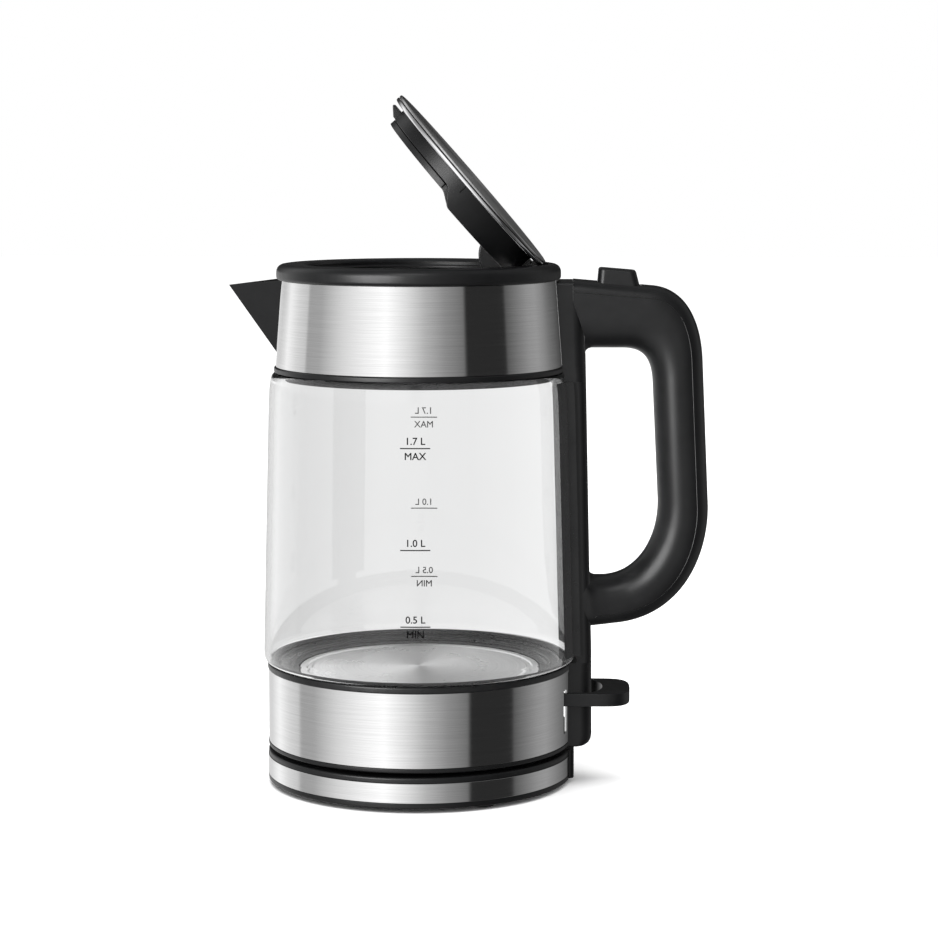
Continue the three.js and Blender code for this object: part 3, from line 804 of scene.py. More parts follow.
def pin(node):
    x, y, z = sizes(node)
    piece = rod("pin", "y", (z[1] - z[0]) / 2, y[0], y[1], (sum(x) / 2, sum(z) / 2), 0.25, 32)
    fit(piece, node, "polished_steel")


def lower_jug():
    jug_bottom_cover()
    lower_steel_band()
    glass_seat_ring()
    lower_glass_seal()
    heating_plate()
    heat_spreader()
    heating_element()
    thermostat_control()
    boil_dry_disc()
    pin("switch_pivot_pin")


# ---------------------------------------------------------------- glass and upper jug

GLASS_WALL = 2.45
GLASS_OUTSIDE = [           # (radius, height) up the outside of the glass
    (74.25, 61), (74.1, 66), (73.6, 85), (73.1, 105), (72.1, 143), (71.0, 181), (70.2, 190.4),
]
GLASS_CURVE = smooth_through(GLASS_OUTSIDE, 5)


def glass_body():
    low, high = ring_sizes("glass_body")[1:]
    outside = [(72.0, low), (73.3, low + 0.7), (73.95, low + 2.0), *GLASS_CURVE]
    outside += [(69.9, 191.8), (69.3, 193.0), (68.5, 193.7), (67.7, high)]
    inside = [(max(radius - GLASS_WALL, 66.6), height) for radius, height in GLASS_CURVE]
    inside = [(70.4, low), (71.1, low + 0.8), (71.6, low + 2.4), *inside, (67.0, 192.6), (66.7, 193.6)]
    fit(spin("glass", [*outside, *reversed(inside)]), "glass_body", "glass", 60)


def upper_glass_seal():
    round_piece("upper_glass_seal", "silicone", lambda radius, low, high: [
        (64.2, low, 0.4), (radius, low, 0.4), (radius - 0.6, high, 0.3), (64.2, high, 0.4),
    ])


def upper_trim_ring():
    round_piece("upper_trim_ring", "black_plastic", lambda radius, low, high: [
        (63.4, low, 0.3), (radius, low, 0.5), (radius, low + 2.5, 0.6), (66.4, low + 2.5, 0.1),
        (65.8, high, 0.2), (64.6, high, 0.2), (64.6, low + 1.8, 0.2), (63.4, low + 1.8, 0.3),
    ])


UPPER_BAND_HEAD = 64.5


def band_radius_at(height):
    radius, low, high = ring_sizes("upper_steel_band")
    return radius + (UPPER_BAND_HEAD - radius) * (height - low) / (high - low)


def upper_cone(offset, low, high):
    return spin("cone", [
        (0, low), (band_radius_at(low) + offset, low), (band_radius_at(high) + offset, high), (0, high),
    ])


def beak(inset, top, edge=0.0):
    """The spout's outer or inner form: two flat cheeks that meet in a straight front edge."""
    tip_x, tip_z = -89.8 + 2.2 * inset, 234.8
    foot_x, foot_z = -68 + 1.2 * inset, 203.7 + 1.3 * inset
    root_x, root_top, root_half = -56, 238.4, 19 - 1.2 * inset
    points = [(root_x, 0, 190)]
    for side in (-edge, edge):
        points += [(tip_x, side, tip_z), (foot_x, side, foot_z)]
    points += [(root_x, root_half, root_top), (root_x, -root_half, root_top)]
    if top > 0:
        points += [(tip_x, -edge, tip_z + top), (tip_x, edge, tip_z + top)]
        points += [(root_x, root_half, root_top + top), (root_x, -root_half, root_top + top)]
    return hull("beak", points)


def spout():
    outer = bevelled(beak(0, 0, 0.3), 0.5, 20)
    shell = cut(outer, beak(1.6, 8), upper_cone(GAP, 180, 260))
    shell = cut(shell, box("top", -70, 0, -40, 40, sizes("upper_steel_band")[2][1], 260))
    fit(shell, "spout", "black_plastic", 25)


def upper_steel_band():
    radius, low, high = ring_sizes("upper_steel_band")
    head = UPPER_BAND_HEAD
    band = spin("band", [
        (radius - WALL, low, 0.25), (radius, low, 0.25), (head, high, 0.25), (head - WALL, high, 0.25),
    ])
    window = common(beak(2.4, 8), box("room", -80, -50, -30, 30, 190, 234))
    fit(cut(band, window), "upper_steel_band", "brushed_steel")


def arc_box(name, inner, outer, half_width, low, high):
    """Part of a ring on the spout side, between two planes of Y."""
    ring = sleeve(name, inner, outer, low, high, 0.1, ROUND)
    return common(ring, box("side", -80, 0, -half_width, half_width, low - 1, high + 1))


def filter_frame():
    y, z = sizes("filter_frame")[1:]
    ring = arc_box("frame", 60.6, 62.4, y[1], z[0], z[1])
    window = slab("window", "x", rectangle(-14, 14, z[0] + 2.5, z[1] - 2.5, 2), -80, -40)
    fit(cut(ring, window), "filter_frame", "black_plastic")


def filter_mesh():
    """Woven wire: level wires that follow the arc, and upright wires between them."""
    y, z = sizes("filter_mesh")[1:]
    radius, wire, rows, edge = 61.45, 0.11, 19, 0.6
    corners = [(-wire, -wire), (wire, -wire), (wire, wire), (-wire, wire)]
    spread = math.asin(y[1] / radius)
    turns = [math.pi - spread + 2 * spread * step / 24 for step in range(25)]
    strands = []
    for row in range(rows):
        height = z[0] + edge + (z[1] - z[0] - 2 * edge) * row / (rows - 1)
        strands.append(loft("level", [[
            ((radius + out) * math.cos(turn), (radius + out) * math.sin(turn), height + rise)
            for out, rise in corners
        ] for turn in turns]))
    for turn in turns:
        cos, sin = math.cos(turn), math.sin(turn)
        strands.append(loft("upright", [[
            ((radius + out) * cos - aside * sin, (radius + out) * sin + aside * cos, height)
            for out, aside in corners
        ] for height in z]))
    fit(finished(gathered(strands), "mesh"), "filter_mesh", "plate_steel")


CAP_BOTTOM = 242.3
MOUTH_RADIUS = 52.1


def cap_sweep():
    """The room that the lid's cap needs on its way from shut to open."""
    steps = 14
    discs = []
    for index in range(steps):
        disc = spin("disc", [
            (0, CAP_BOTTOM - GAP), (MOUTH_RADIUS, CAP_BOTTOM - GAP), (MOUTH_RADIUS, 247), (0, 247),
        ], 96)
        discs.append(opened(disc, LID_OPEN * (index + 1) / steps))
    return discs


def collar():
    radius, _, top = ring_sizes("collar")
    ring = spin("ring", [
        (61.6, 235.5, 0.3), (63.2, 235.5, 0.3), (63.2, 237.5, 0.1), (radius, 237.5, 1.6),
        (radius, top, 5.2), (54.6, top, 0.3), (MOUTH_RADIUS + 0.5, top - 0.5, 0.4),
        (MOUTH_RADIUS, top - 1.4, 0.4), (MOUTH_RADIUS, 242, 0.4), (46.2, 242, 0.5), (46.2, 240.6, 0.4),
        (61.6, 240.6, 0.8),
    ])
    slot_end = HINGE_X + 5.2
    ring = cut(
        ring, box("relief", 34, 54, -28, 28, 239, 243), box("slot", 40, slot_end, -10.9, 10.9, 239, 246),
        *cap_sweep(),
    )
    ears = []
    for y in (-14.6, 11.2):
        ears.append(rod("ear", "y", 5, y, y + 3.4, (HINGE_X, HINGE_Z), 0.3))
        ears.append(box("ear", HINGE_X - 3, 61.8, y, y + 3.4, 231, HINGE_Z))
    ring = join(ring, *ears)
    fit(cut(ring, rod("bore", "y", PIN_BORE, -20, 20, (HINGE_X, HINGE_Z))), "collar", "black_plastic")


def lid_spring():
    y = sizes("lid_spring")[1]
    spring = coil("spring", 3.1, 0.5, 4, 0, 3.2)
    spring.data.transform(Matrix.Rotation(math.pi / 2, 4, "X"))
    fit(moved(spring, HINGE_X, y[1] - 0.5, HINGE_Z), "lid_spring", "polished_steel")


def upper_jug():
    glass_body()
    upper_glass_seal()
    upper_trim_ring()
    upper_steel_band()
    collar()
    spout()
    filter_frame()
    filter_mesh()
    pin("hinge_pin")
    lid_spring()


# ---------------------------------------------------------------- column and handle

SADDLE_THICKNESS = 1.7
SADDLE_REACH = GAP + SADDLE_THICKNESS + GAP + 0.05


def glass_radius_at(height):
    radii, heights = zip(*GLASS_CURVE)
    return float(np.interp(height, heights, radii))


COLUMN_BACK = [             # (height, x) up the column's back edge
    (16.7, 77.0), (17.3, 79.2), (18.4, 80.9), (20.0, 81.9), (22.5, 82.3), (65, 82.0), (104, 80.9),
    (205.2, 78.6), (237.2, 78.6),
]
JOINT = [(72.6, 260), (72.6, 228), (78.0, 212), (78.0, 203)]    # where the grip meets the column
SCREW_HIGH, SCREW_LOW = 210, 85     # heights of the two screws that hold the grip
# The heights where the jug's radius steps behind the column.
BAND_TOP, SEAT_TOP, GLASS_TOP, TRIM_TOP, RING_TOP = 52.8, 57.2, 190.4, 194.2, 197.0


def arc_point(radius, across):
    return math.sqrt(radius ** 2 - across ** 2), across


def column_inside(height):
    """The radius of the jug, with its saddle, that the column's front wraps."""
    if height < BAND_TOP:
        return 72.6
    if height < SEAT_TOP:
        return 72.9
    if height < GLASS_TOP:
        return glass_radius_at(height) + SADDLE_REACH
    if height < TRIM_TOP:
        return 70.3
    if height < RING_TOP:
        return 68.8
    return band_radius_at(min(height, 237.4)) + 0.4


def column_limit(height):
    """The least x that the column's front may reach, above the glass."""
    if height < GLASS_TOP:
        return 0.0
    return 68.2 if height < RING_TOP else band_radius_at(min(height, 237.4)) + 0.1


def column():
    y, z = sizes("column")[1:]
    breaks = (BAND_TOP, SEAT_TOP, GLASS_TOP, TRIM_TOP, RING_TOP)
    heights = [z[0], 17.0, 17.3, 17.8, 18.4, 19.2, 20.0, 21.0, 22.5, 30, 40, 50]
    heights += [61, 66, 75, 85, 95, 105, 125, 143, 162, 181]
    heights += [200, 204, 208, 215, 225, 233, 235.2, 235.5, 235.9, 236.3, 236.7, 237.0, z[1]]
    heights += [value + shift for value in breaks for shift in (-0.01, 0.01)]
    rings = []
    for height in sorted(heights):
        inner = column_inside(height)
        back = float(np.interp(height, *zip(*COLUMN_BACK)))
        low_rim, high_rim = min(1.0, height - z[0]), min(2.0, z[1] - height) / 2
        pull = 1.0 - math.sqrt(max(0.0, 1 - (1 - low_rim) ** 2))
        pull += 2.0 - 2.0 * math.sqrt(max(0.0, 1 - (1 - high_rim) ** 2))
        side = y[1] - pull - 1.5 * min(1.0, max(0.0, (height - 190) / 14))
        corner = 6.2 if height < 237 else 5.0
        limit = column_limit(height)
        front = [arc_point(inner, across) for across in np.linspace(side, -side, 17)]
        front = [(max(limit, forward), across) for forward, across in front]
        outside = rounded([
            (front[-1][0], -side), (back, -side, corner), (back, side, corner), (front[0][0], side),
        ], 7, closed=False)
        rings.append([(a, b, height) for a, b in [*front, *outside[1:-1]]])
    body = loft("column", rings)
    slider = sizes("release_slider")
    tools = [
        box("slot", 60, 80, -3.5, 3.5, slider[2][0] - 0.5, slider[2][1] + 0.5),
        rod("head", "x", 3.4, 60, 71.2, (0, SCREW_HIGH)),
        rod("shank", "x", 2, 70, 80, (0, SCREW_HIGH)),
        rod("shank", "x", 2, 76, 90, (0, SCREW_LOW)),
        slab("beyond", "y", [*JOINT, (100, 203), (100, 260)], -20, 20),
    ]
    fit(cut(body, *tools), "column", "black_plastic")


def glass_saddle():
    """A thin pad that wraps the glass, with a rib on each side of the column."""
    y, z = sizes("glass_saddle")[1:]
    half, rib_outer, rib_inner = y[1] - 1.3, 18.0, 15.3
    rings = []
    for height in np.linspace(z[0], z[1], 34):
        inner = glass_radius_at(height) + GAP
        wing, middle, rib = inner + 0.9, inner + SADDLE_THICKNESS, inner + 2.4
        section = [arc_point(inner, across) for across in np.linspace(-half, half, 25)]
        section += [arc_point(wing, across) for across in np.linspace(half, rib_outer, 7)]
        section += [(rib, rib_outer), (rib, rib_inner)]
        section += [arc_point(middle, across) for across in np.linspace(rib_inner, -rib_inner, 13)]
        section += [(rib, -rib_inner), (rib, -rib_outer)]
        section += [arc_point(wing, across) for across in np.linspace(-rib_outer, -half, 7)]
        rings.append([(a, b, height) for a, b in section])
    fit(loft("saddle", rings), "glass_saddle", "inner_plastic")


def handle_outside():
    """The outside of the handle, from the column over the top and down to the column again."""
    top, back, low = (110, 234.8), (133.8, 199.4), (136.9, 132.7)
    line = [(68.0, 238.2), *straight((68.0, 238.2), top, 16)]
    line += bezier(top, (126, 233.5), (133, 218), back, 26)
    line += straight(back, low, 20)
    line += bezier(low, (138.1, 112), (128.4, 77.5), (92.5, 74.8), 34)
    return line + straight((92.5, 74.8), (79.0, 73.5), 10) + straight((79.0, 73.5), (74.5, 73.2), 3)


def handle_inside():
    """The finger side of the handle, in step with the outside."""
    corner, front, low = (96, 205.6), (110.4, 188), (113.1, 134)
    turn = rounded([(77.6, 200.6), (79.0, 205.6, 4.6), (96, 205.6)], 8, closed=False)
    line = [(77.6, 200.6), *resampled(turn, 16)]
    line += bezier(corner, (107, 205.6), (110, 199.5), front, 26)
    line += straight(front, low, 20)
    line += bezier(low, (113.6, 114), (103, 98.5), (87.6, 97.3), 34)
    turn = rounded([(87.6, 97.3), (81.0, 97.1, 4.2), (79.4, 102.4)], 8, closed=False)
    return line + resampled(turn, 10) + straight((79.4, 102.4), (74.5, 102.4), 3)


def resampled(points, steps):
    """Evenly spaced points along a line, without its start."""
    points = np.array(points, float)
    lengths = np.concatenate([[0], np.cumsum(np.linalg.norm(np.diff(points, axis=0), axis=1))])
    wanted = np.linspace(0, lengths[-1], steps + 1)[1:]
    return [tuple(np.interp(at, lengths, points[:, axis]) for axis in (0, 1)) for at in wanted]


def bow(value, power):
    return math.copysign(abs(value) ** (2 / power), value)


def handle_blank():
    """The whole handle: soft oval sections, squarer along the outside and near the button."""
    outside, inside = handle_outside(), handle_inside()
    count = len(outside)
    rings = []
    for at, (outer, inner) in enumerate(zip(outside, inside)):
        outer, inner = np.array(outer), np.array(inner)
        middle, reach = (outer + inner) / 2, (outer - inner) / 2
        square = max(0.0, 1 - at / 42) + max(0.0, 1 - (count - 1 - at) / 24)
        half = sizes("handle_grip")[1][1] + 1.55 * min(1.0, max(0.0, 1.5 - (count - 1 - at) / 12))
        outer_power = 2.5 + 2.0 * square
        inner_power = 2.05 + 0.7 * square
        ring = []
        for step in range(56):
            angle = 2 * math.pi * step / 56
            power = outer_power if math.cos(angle) > 0 else inner_power
            place = middle + reach * bow(math.cos(angle), power)
            ring.append((place[0], half * bow(math.sin(angle), power), place[1]))
        rings.append(ring)
    return loft("handle", rings)


def cover_zone(depth, grow, low=-20, high=20):
    """The room of the outer cover strip, with round ends."""
    outside = np.array(handle_outside())
    above = [point for point in outside if point[0] > 72.95 - grow or point[1] < 150]
    line = [point for point in above if point[0] > 84.2 - grow or point[1] > 150]
    far = shifted(line, 5)
    near = shifted(line, -depth)
    first, last = near[0], near[-1]
    outline = [*map(tuple, far), (*last, 2.6), *map(tuple, near[-2:0:-1]), (*first, 2.6)]
    return slab("zone", "y", rounded(outline, 6), low, high)


def button_room():
    x, y = sizes("release_button")[:2]
    outline = rectangle(x[0] - 0.4, x[1] + 0.4, y[0] - 0.4, y[1] + 0.4, 3.6, 8)
    return slab("room", "z", outline, 226, 250)


def handle_grip():
    grip = cut(
        handle_blank(),
        cover_zone(5.5, 0.02), cover_zone(5.7, 0.2, 9.0), cover_zone(5.7, 0.2, -20, -9.0),
        slab("column_side", "y", [(a + 0.05, b) for a, b in JOINT] + [(40, 203), (40, 260)], -20, 20),
        box("well", 83, 106, -9, 9, 214, 240), box("slot", 70, 90, -3.5, 3.5, 219.5, 224.5),
        rod("shank", "x", 2, 70, 93, (0, SCREW_HIGH)), rod("shank", "x", 2, 70, 96, (0, SCREW_LOW)),
    )
    fit(grip, "handle_grip", "black_plastic", 40)


def handle_cover():
    strip = common(handle_blank(), cover_zone(5.5, 0.0))
    fit(cut(strip, button_room()), "handle_cover", "black_plastic", 40)


def screw_along_x(node, head_length):
    x, _, z = sizes(node)
    at = (0, sum(z) / 2)
    head = rod("head", "x", 3, x[0], x[0] + head_length, at, 0.3, 32)
    shank = rod("shank", "x", 1.6, x[0] + head_length - 0.5, x[1], at, 0.3, 24)
    recess = box("recess", x[0] - 1, x[0] + 0.9, -1.8, 1.8, at[1] - 0.35, at[1] + 0.35)
    fit(cut(join(head, shank), recess), node, "polished_steel")


def release_button():
    x, y, z = sizes("release_button")
    left, right, slope, fillet = 85.3, 102.3, -1.4, 1.3
    rings = [[(a, b, 233.0) for a, b in plan_of_button(x, y, 0, 0)]]
    for step in range(6):
        angle = math.pi / 2 * step / 5
        pull = fillet * (1 - math.cos(angle))
        top = z[1] - fillet * (1 - math.sin(angle))
        rings.append([
            (a, b, top + slope * (a - left) / (right - left))
            for a, b in plan_of_button(x, y, 1.0, pull)
        ])
    cap = loft("button", rings)
    stem = slab("stem", "y", [(92, 224.5), (96, z[0]), (96, 234), (92, 234)], -3, 3)
    fit(join(cap, stem), "release_button", "black_plastic")


def plan_of_button(x, y, draft, pull):
    """The button's outline in plan, drawn in by its draft and by its round top edge."""
    left, right = x[0] - 0.6 + 0.8 * draft + pull, x[1] - 2 * draft - pull
    side = y[1] - 0.6 * draft - pull
    return rectangle(left, right, -side, side, 3.2 - pull, 8)


def button_spring():
    x, _, z = sizes("button_spring")
    spring = coil("spring", 2.4, 0.4, 6, z[0] + 0.4, z[1] - 0.4)
    fit(moved(spring, sum(x) / 2), "button_spring", "polished_steel")


def release_slider():
    x, y, z = sizes("release_slider")
    outline = rounded([
        (x[0], z[0], 0.4), (x[1], z[0], 0.3), (x[1] - (z[1] - z[0]), z[1], 0.4), (x[0], z[1], 0.4),
    ])
    fit(slab("slider", "y", outline, y[0], y[1], 0.3), "release_slider", "inner_plastic")


def column_and_handle():
    column()
    glass_saddle()
    handle_grip()
    handle_cover()
    screw_along_x("handle_screw_upper", 2)
    screw_along_x("handle_screw_lower", 1.8)
    release_button()
    button_spring()
    release_slider()


# ---------------------------------------------------------------- power switch

def switch_lever():
    x, y, z = sizes("switch_lever")
    half, reach = y[1], 15.0
    outline = [(x[0], -half)]
    for angle in np.linspace(-math.pi / 2, math.pi / 2, 61):
        ahead = reach * bow(math.cos(angle), 3.2)
        outline.append((x[1] - reach + ahead, half * bow(math.sin(angle), 3.2)))
    outline += [(x[0], half)]
    hole_half = half - 3
    hole = [(42, -hole_half)]
    for angle in np.linspace(-math.pi / 2, math.pi / 2, 41):
        hole.append((78 + 9.5 * math.cos(angle), hole_half * math.sin(angle)))
    hole += [(42, hole_half)]
    ring = slab("ring", "z", outline, z[0] + 0.5, z[1] + 0.5, 0.35)
    hole = slab("hole", "z", hole, z[0] - 2, z[1] + 2)
    fit(cut(ring, hole, pivot_bore()), "switch_lever", "black_plastic")


# ---------------------------------------------------------------- lid, drawn shut and then opened

SKIRT_RADIUS = 45.6
STEP_FRONT, STEP_BACK = -6.0, 3.0
FRONT_BOTTOM, BACK_BOTTOM = 233.0, 229.3
COVER_THICKNESS = 2.8
COVER_BACK_BOTTOM = BACK_BOTTOM + 0.4
ARM_ROOM = 6.4              # half the width of the slots for the hinge arm
TONGUE_TOP = 240.3


def underside_at(x, front, back):
    """The height of a line across the lid that drops from front to back in an S."""
    share = min(1.0, max(0.0, (x - STEP_FRONT) / (STEP_BACK - STEP_FRONT)))
    return front + (back - front) * share * share * (3 - 2 * share)


def lid_body():
    front = FRONT_BOTTOM + COVER_THICKNESS + GAP

    def profile(angle):
        low = underside_at(SKIRT_RADIUS * math.cos(angle), front, BACK_BOTTOM)
        return [
            (0, 242.2), (43.8, 242.2, 0.5), (43.8, low, 0.4), (SKIRT_RADIUS, low, 0.5),
            (SKIRT_RADIUS, 242, 0.1), (46.1, 242, 0.1), (46.1, 244.2, 0.2), (0, 244.2),
        ]

    half = sizes("latch_tongue")[1][1] + GAP
    slot = box("slot", -50, -40, -half, half, 235, TONGUE_TOP + GAP)
    arm_slot = box("arm", 30, 50, -ARM_ROOM, ARM_ROOM, 225, 241.4)
    nicks = [box("nick", 0.7, 1.2, y - 2, y + 2, 238.2, 242.0) for y in (-46, 46)]
    fit(opened(cut(spin("lid", profile), slot, arm_slot, *nicks)), "lid_body", "black_plastic")


def lid_inner_cover():
    """The cover over the lid's underside: a wide band in front, inside the skirt behind."""
    wide = slab("wide", "z", circle(44.9, ROUND), 225, 250)
    wide = common(wide, box("front", -60, STEP_FRONT - GAP, -60, 60, 220, 255))
    disc = join(wide, slab("narrow", "z", circle(43.4, ROUND), 225, 250))
    low = [
        (x, underside_at(x, FRONT_BOTTOM, COVER_BACK_BOTTOM))
        for x in (-60, *np.linspace(STEP_FRONT, STEP_BACK, 14), 60)
    ]
    high = [(x, z + COVER_THICKNESS) for x, z in low]
    layer = slab("layer", "y", [*low, *reversed(high)], -60, 60)
    disc = bevelled(common(disc, layer), 0.7, 50)
    disc = cut(disc, box("arm", 22, 50, -ARM_ROOM, ARM_ROOM, 225, 240))
    fit(opened(disc), "lid_inner_cover", "inner_plastic")


def lid_hinge_arm():
    cheek = slab("cheek", "y", circle(12.8, 96, (36.5, 233.9)), -6, 6, 0.8)
    cheek = common(cheek, box("limit", 20, 60, -7, 7, 215, 241))
    link_bar = box("link", 40, HINGE_X, -6, 6, 233.4, 240)
    knuckle = rod("knuckle", "y", 4.6, -6, 6, (HINGE_X, HINGE_Z), 0.5)
    bore = rod("bore", "y", PIN_BORE, -8, 8, (HINGE_X, HINGE_Z))
    fit(opened(cut(join(cheek, link_bar, knuckle), bore)), "lid_hinge_arm", "inner_plastic")


def latch_tongue():
    half = sizes("latch_tongue")[1][1]
    outline = rounded([
        (-50.4, TONGUE_TOP, 0.3), (-50.3, 239.4, 0.5), (-46.2, 236.2, 0.8), (-24, 236.2, 0.3),
        (-24, TONGUE_TOP, 0.3),
    ])
    fit(opened(slab("tongue", "y", outline, -half, half, 0.4)), "latch_tongue", "black_plastic")


def latch_spring():
    spring = coil("spring", 1.6, 0.35, 5, 0.4, 7.6)
    spring.data.transform(Matrix.Rotation(math.pi / 2, 4, "Y"))
    fit(opened(moved(spring, -23.6, 0, 238.3)), "latch_spring", "polished_steel")


def lid():
    top_disc = spin("disc", [(0, 244.5), (51.6, 244.5, 0.25), (51.6, 245.7, 0.5), (0, 245.7)])
    # The top disc takes the darker steel, whose colour is painted shade.
    fit(opened(top_disc), "lid_top_disc", "brushed_steel", look=SHADED_LID_STEEL)
    trim = spin("trim", [
        (46.5, 242.3, 0.3), (51.6, 242.3, 0.9), (51.6, 244.1, 0.4), (46.5, 244.1, 0.3),
    ])
    fit(opened(trim), "lid_trim_ring", "polished_steel")
    lid_body()
    lid_inner_cover()
    lid_hinge_arm()
    latch_tongue()
    latch_spring()


# ---------------------------------------------------------------- volume marks

CAP_HEIGHT = 3.2
FRONT_MARKS = 0.027         # the turn of the marks about Z from the middle, in radians
BACK_MARKS = 0.018
LINE_LENGTH = 13.6
LINE_HALF = 0.25            # half the thickness of a line
LIFT = 0.12                 # how far the marks lie off the glass
MARKS = [                   # height of the line, words above it, words below it
    (165.2, "1.7 L", "MAX"),
    (119.2, "1.0 L", ""),
    (84.4, "0.5 L", "MIN"),
]


def flat_words(words):
    """The words as a thin flat mesh in the plane of x and z, centred, one cap height tall."""
    curve = bpy.data.curves.new("words", "FONT")
    curve.body = words
    curve.size = 1.0
    curve.extrude = 0.004
    curve.bevel_depth = 0.012
    curve.bevel_resolution = 0
    curve.align_x = "CENTER"
    curve.resolution_u = 6
    text = new_piece("words", curve)
    bpy.context.view_layer.update()
    scene_state = bpy.context.evaluated_depsgraph_get()
    mesh = bpy.data.meshes.new_from_object(text.evaluated_get(scene_state))
    bpy.data.objects.remove(text)
    height = max(vertex.co.y for vertex in mesh.vertices)
    scale = CAP_HEIGHT * MM / height
    for vertex in mesh.vertices:
        x, y, z = vertex.co
        vertex.co = (x * scale, z * MM * 5, y * scale)
    return new_piece("words", mesh)


def mark_line(height):
    """A thin level bar with enough steps along it to bend round the glass."""
    reach = LINE_LENGTH / 2
    line = box("line", -reach, reach, -0.02, 0.02, height - LINE_HALF, height + LINE_HALF)
    work = gathered([line])
    long_edges = [edge for edge in work.edges if edge.calc_length() > 5 * MM]
    bmesh.ops.subdivide_edges(work, edges=long_edges, cuts=10, use_grid_fill=True)
    return finished(work, "line")


def print_marks(side, angle):
    """Prints the marks on the outside of the glass, centred at an angle about Z."""
    parts = []
    for height, above, below in MARKS:
        parts += [mark_line(height), moved(flat_words(above), z=height + 1.7)]
        if below:
            parts.append(moved(flat_words(below), z=height - 1.9 - CAP_HEIGHT))
    work = gathered(parts)
    for vertex in work.verts:
        x, out, z = vertex.co / MM
        radius = glass_radius_at(z) + LIFT - out
        turn = angle + x / radius
        vertex.co = Vector((radius * math.cos(turn), radius * math.sin(turn), z)) * MM
    marks = finished(work, f"volume_marks_{side}")
    marks.data.materials.append(INK)
    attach(marks, "jug")


# ---------------------------------------------------------------- studio

CAMERA_TURN = 1.95          # degrees about Z, towards the handle
CAMERA_AT = (23.67, -1290.8, 301.4)
CAMERA_TILT = 6.8
LENS = 105.04


def camera():
    turn, tilt = math.radians(CAMERA_TURN), math.radians(CAMERA_TILT)
    view = Vector((
        -math.sin(turn) * math.cos(tilt), math.cos(turn) * math.cos(tilt), -math.sin(tilt),
    ))
    data = bpy.data.cameras.new("camera")
    data.lens = LENS
    data.sensor_width = 36
    eye = new_piece("camera", data)
    eye.location = Matrix.Rotation(turn, 3, "Z") @ Vector(CAMERA_AT) * MM
    eye.rotation_euler = view.to_track_quat("-Z", "Y").to_euler()
    bpy.context.scene.camera = eye


def floor():
    low = cad_bounds[0][2] / MM
    sheet = mesh_piece("floor", [
        (-6000, -6000, low), (6000, -6000, low), (6000, 6000, low), (-6000, 6000, low),
    ], [(0, 1, 2, 3)])
    look = new_look("floor_look", Roughness=1.0, Specular_IOR_Level=0.0)
    tint(look, object_noise(look, 3), grey(0.86), grey(0.87))
    sheet.data.materials.append(look)
    sheet.visible_glossy = False
    sheet.visible_transmission = False


# The studio's walls by direction: degrees from the front (to the right is positive) and brightness.
STUDIO = [
    (-180, 1.00), (-160, 0.75), (-148, 0.85), (-130, 1.25), (-114, 0.92), (-101, 0.76), (-99, 0.46),
    (-84, 0.50), (-62, 0.92), (-40, 1.25), (-24, 1.45), (-8, 1.05), (8, 0.62), (24, 0.36),
    (39.5, 0.22), (41.5, 0.03), (77, 0.03), (79, 0.13), (104, 0.38), (114, 0.42), (134, 0.26),
    (155, 0.12), (174, 0.04), (180, 1.00),
]
FILL = 1.27                 # soft light from all round on matt surfaces
GLASS_VIEW_LEFT = 0.74      # the room as it is seen through the glass, at its left and right
GLASS_VIEW_RIGHT = 1.05


def calculated(look, operation, *values):
    """The result of a sum on numbers and outputs of other nodes."""
    sum_node = add_node(look, "ShaderNodeMath", operation=operation)
    for socket, value in zip(sum_node.inputs, values):
        if isinstance(value, int):
            socket.default_value = value
        else:
            link(look, value, socket)
    return sum_node.outputs[0]


def mixed(look, share, first, second):
    """Mixes two greys or colours from other nodes; a share of 0 gives the first."""
    mix = add_node(look, "ShaderNodeMix", data_type="RGBA")
    link(look, share, mix.inputs["Factor"])
    for socket, value in (("A", first), ("B", second)):
        if isinstance(value, float):
            mix.inputs[socket].default_value = (*grey(value), 1)
        else:
            link(look, value, mix.inputs[socket])
    return mix.outputs["Result"]


def mirrored_room(world, x, y, z):
    """What metal mirrors: walls all round, a grey sky, a dark floor and a dark wall high behind."""
    angle = calculated(world, "ARCTAN2", x, calculated(world, "MULTIPLY", y, -1))
    walls = add_node(world, "ShaderNodeValToRGB")
    link(world, ranged(world, angle, -math.pi, math.pi), walls.inputs["Fac"])
    stops = walls.color_ramp.elements
    while len(stops) > 1:
        stops.remove(stops[-1])
    for index, (degrees, level) in enumerate(STUDIO):
        position = (degrees + 180) / 360
        stop = stops[0] if index == 0 else stops.new(position)
        stop.position = position
        stop.color = (*grey(level), 1)
    behind = ranged(world, y, 0.55, 0.9, smooth=True)
    raised = ranged(world, z, -0.03, 0.06, smooth=True)
    colour = mixed(world, calculated(world, "MULTIPLY", behind, raised), walls.outputs["Color"], 0.04)
    colour = mixed(world, ranged(world, z, 0.45, 0.85, smooth=True), colour, 0.25)
    return mixed(world, ranged(world, z, -0.95, -0.55, smooth=True), 0.12, colour)


def room_through_glass(world, x, z):
    """What glass shows of the room: below the horizon from left to right, above it by the side."""
    across = ranged(world, x, -0.12, 0.12, GLASS_VIEW_LEFT, GLASS_VIEW_RIGHT)
    fan = ranged(world, calculated(world, "ABSOLUTE", x), 0.0, 0.14, 0.3, 1.2, smooth=True)
    return mixed(world, ranged(world, z, 0.0, 0.08, smooth=True), across, fan)


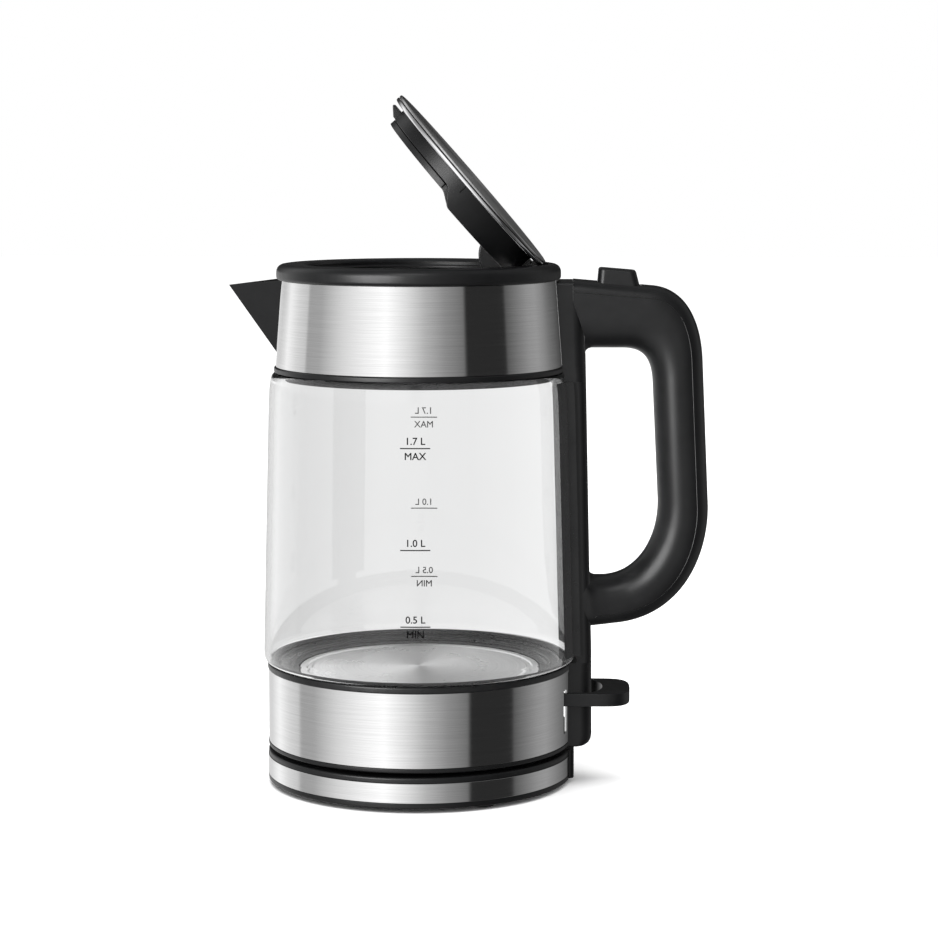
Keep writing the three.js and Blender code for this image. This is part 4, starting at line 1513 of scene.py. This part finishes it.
def studio_light():
    """The studio all round: white behind the kettle, and what its surfaces mirror, show and catch."""
    world = bpy.data.worlds.new("studio")
    bpy.context.scene.world = world
    world.use_nodes = True
    world.node_tree.nodes.clear()
    place = add_node(world, "ShaderNodeTexCoord")
    parts = add_node(world, "ShaderNodeSeparateXYZ")
    link(world, place.outputs["Generated"], parts.inputs[0])
    x, y, z = parts.outputs
    ray = add_node(world, "ShaderNodeLightPath").outputs
    colour = mixed(world, ray["Is Diffuse Ray"], mirrored_room(world, x, y, z), FILL)
    colour = mixed(world, ray["Is Transmission Ray"], colour, room_through_glass(world, x, z))
    colour = mixed(world, ray["Is Camera Ray"], colour, 1.0)
    light = add_node(world, "ShaderNodeBackground")
    link(world, colour, light.inputs["Color"])
    out = add_node(world, "ShaderNodeOutputWorld")
    link(world, light.outputs[0], out.inputs["Surface"])


def softbox(name, place, size, power, only=()):
    """A round lamp aimed at the kettle. With only, it lights just the pieces in those slots."""
    data = bpy.data.lights.new(name, "AREA")
    data.shape = "DISK"
    data.size = size
    data.energy = power
    lamp = new_piece(name, data)
    lamp.location = place
    lamp.rotation_euler = (Vector((0, 0, 0.1)) - Vector(place)).to_track_quat("-Z", "Y").to_euler()
    lamp.visible_camera = False
    lamp.visible_transmission = False
    lamp.visible_glossy = bool(only)
    if only:
        looks = [LOOKS[slot] for slot in only]
        lit = bpy.data.collections.new(name + "_lights")
        for piece in bpy.context.scene.collection.objects:
            if piece.type == "MESH" and any(look in looks for look in piece.data.materials):
                lit.objects.link(piece)
        lamp.light_linking.receiver_collection = lit


def studio():
    camera()
    studio_light()
    floor()
    softbox("softbox_top", (0.0, -0.15, 2.4), 2.6, 75)
    bpy.context.scene.view_settings.view_transform = "Standard"


# ---------------------------------------------------------------- the kettle

studio()
power_base()
socket()
lower_jug()
upper_jug()
column_and_handle()
switch_lever()
lid()
print_marks("front", -math.pi / 2 + FRONT_MARKS)
print_marks("back", math.pi / 2 + BACK_MARKS)

PLASTICS = ("black_plastic", "inner_plastic")
UNREFLECTED = (             # pieces that don't show in mirrors, so the steel bands stay clear of them
    "column", "glass_saddle", "handle_grip", "handle_cover", "handle_screw_upper", "handle_screw_lower",
    "release_button", "release_slider", "button_spring", "switch_lever", "spout", "thermostat_control",
)
softbox("softbox_front", (-0.92, -1.38, 0.5), 1.2, 44, PLASTICS)
softbox("softbox_high", (-0.2, -1.1, 1.5), 0.8, 6, PLASTICS)
for name in UNREFLECTED:
    bpy.data.objects[name + "_fine"].visible_glossy = False
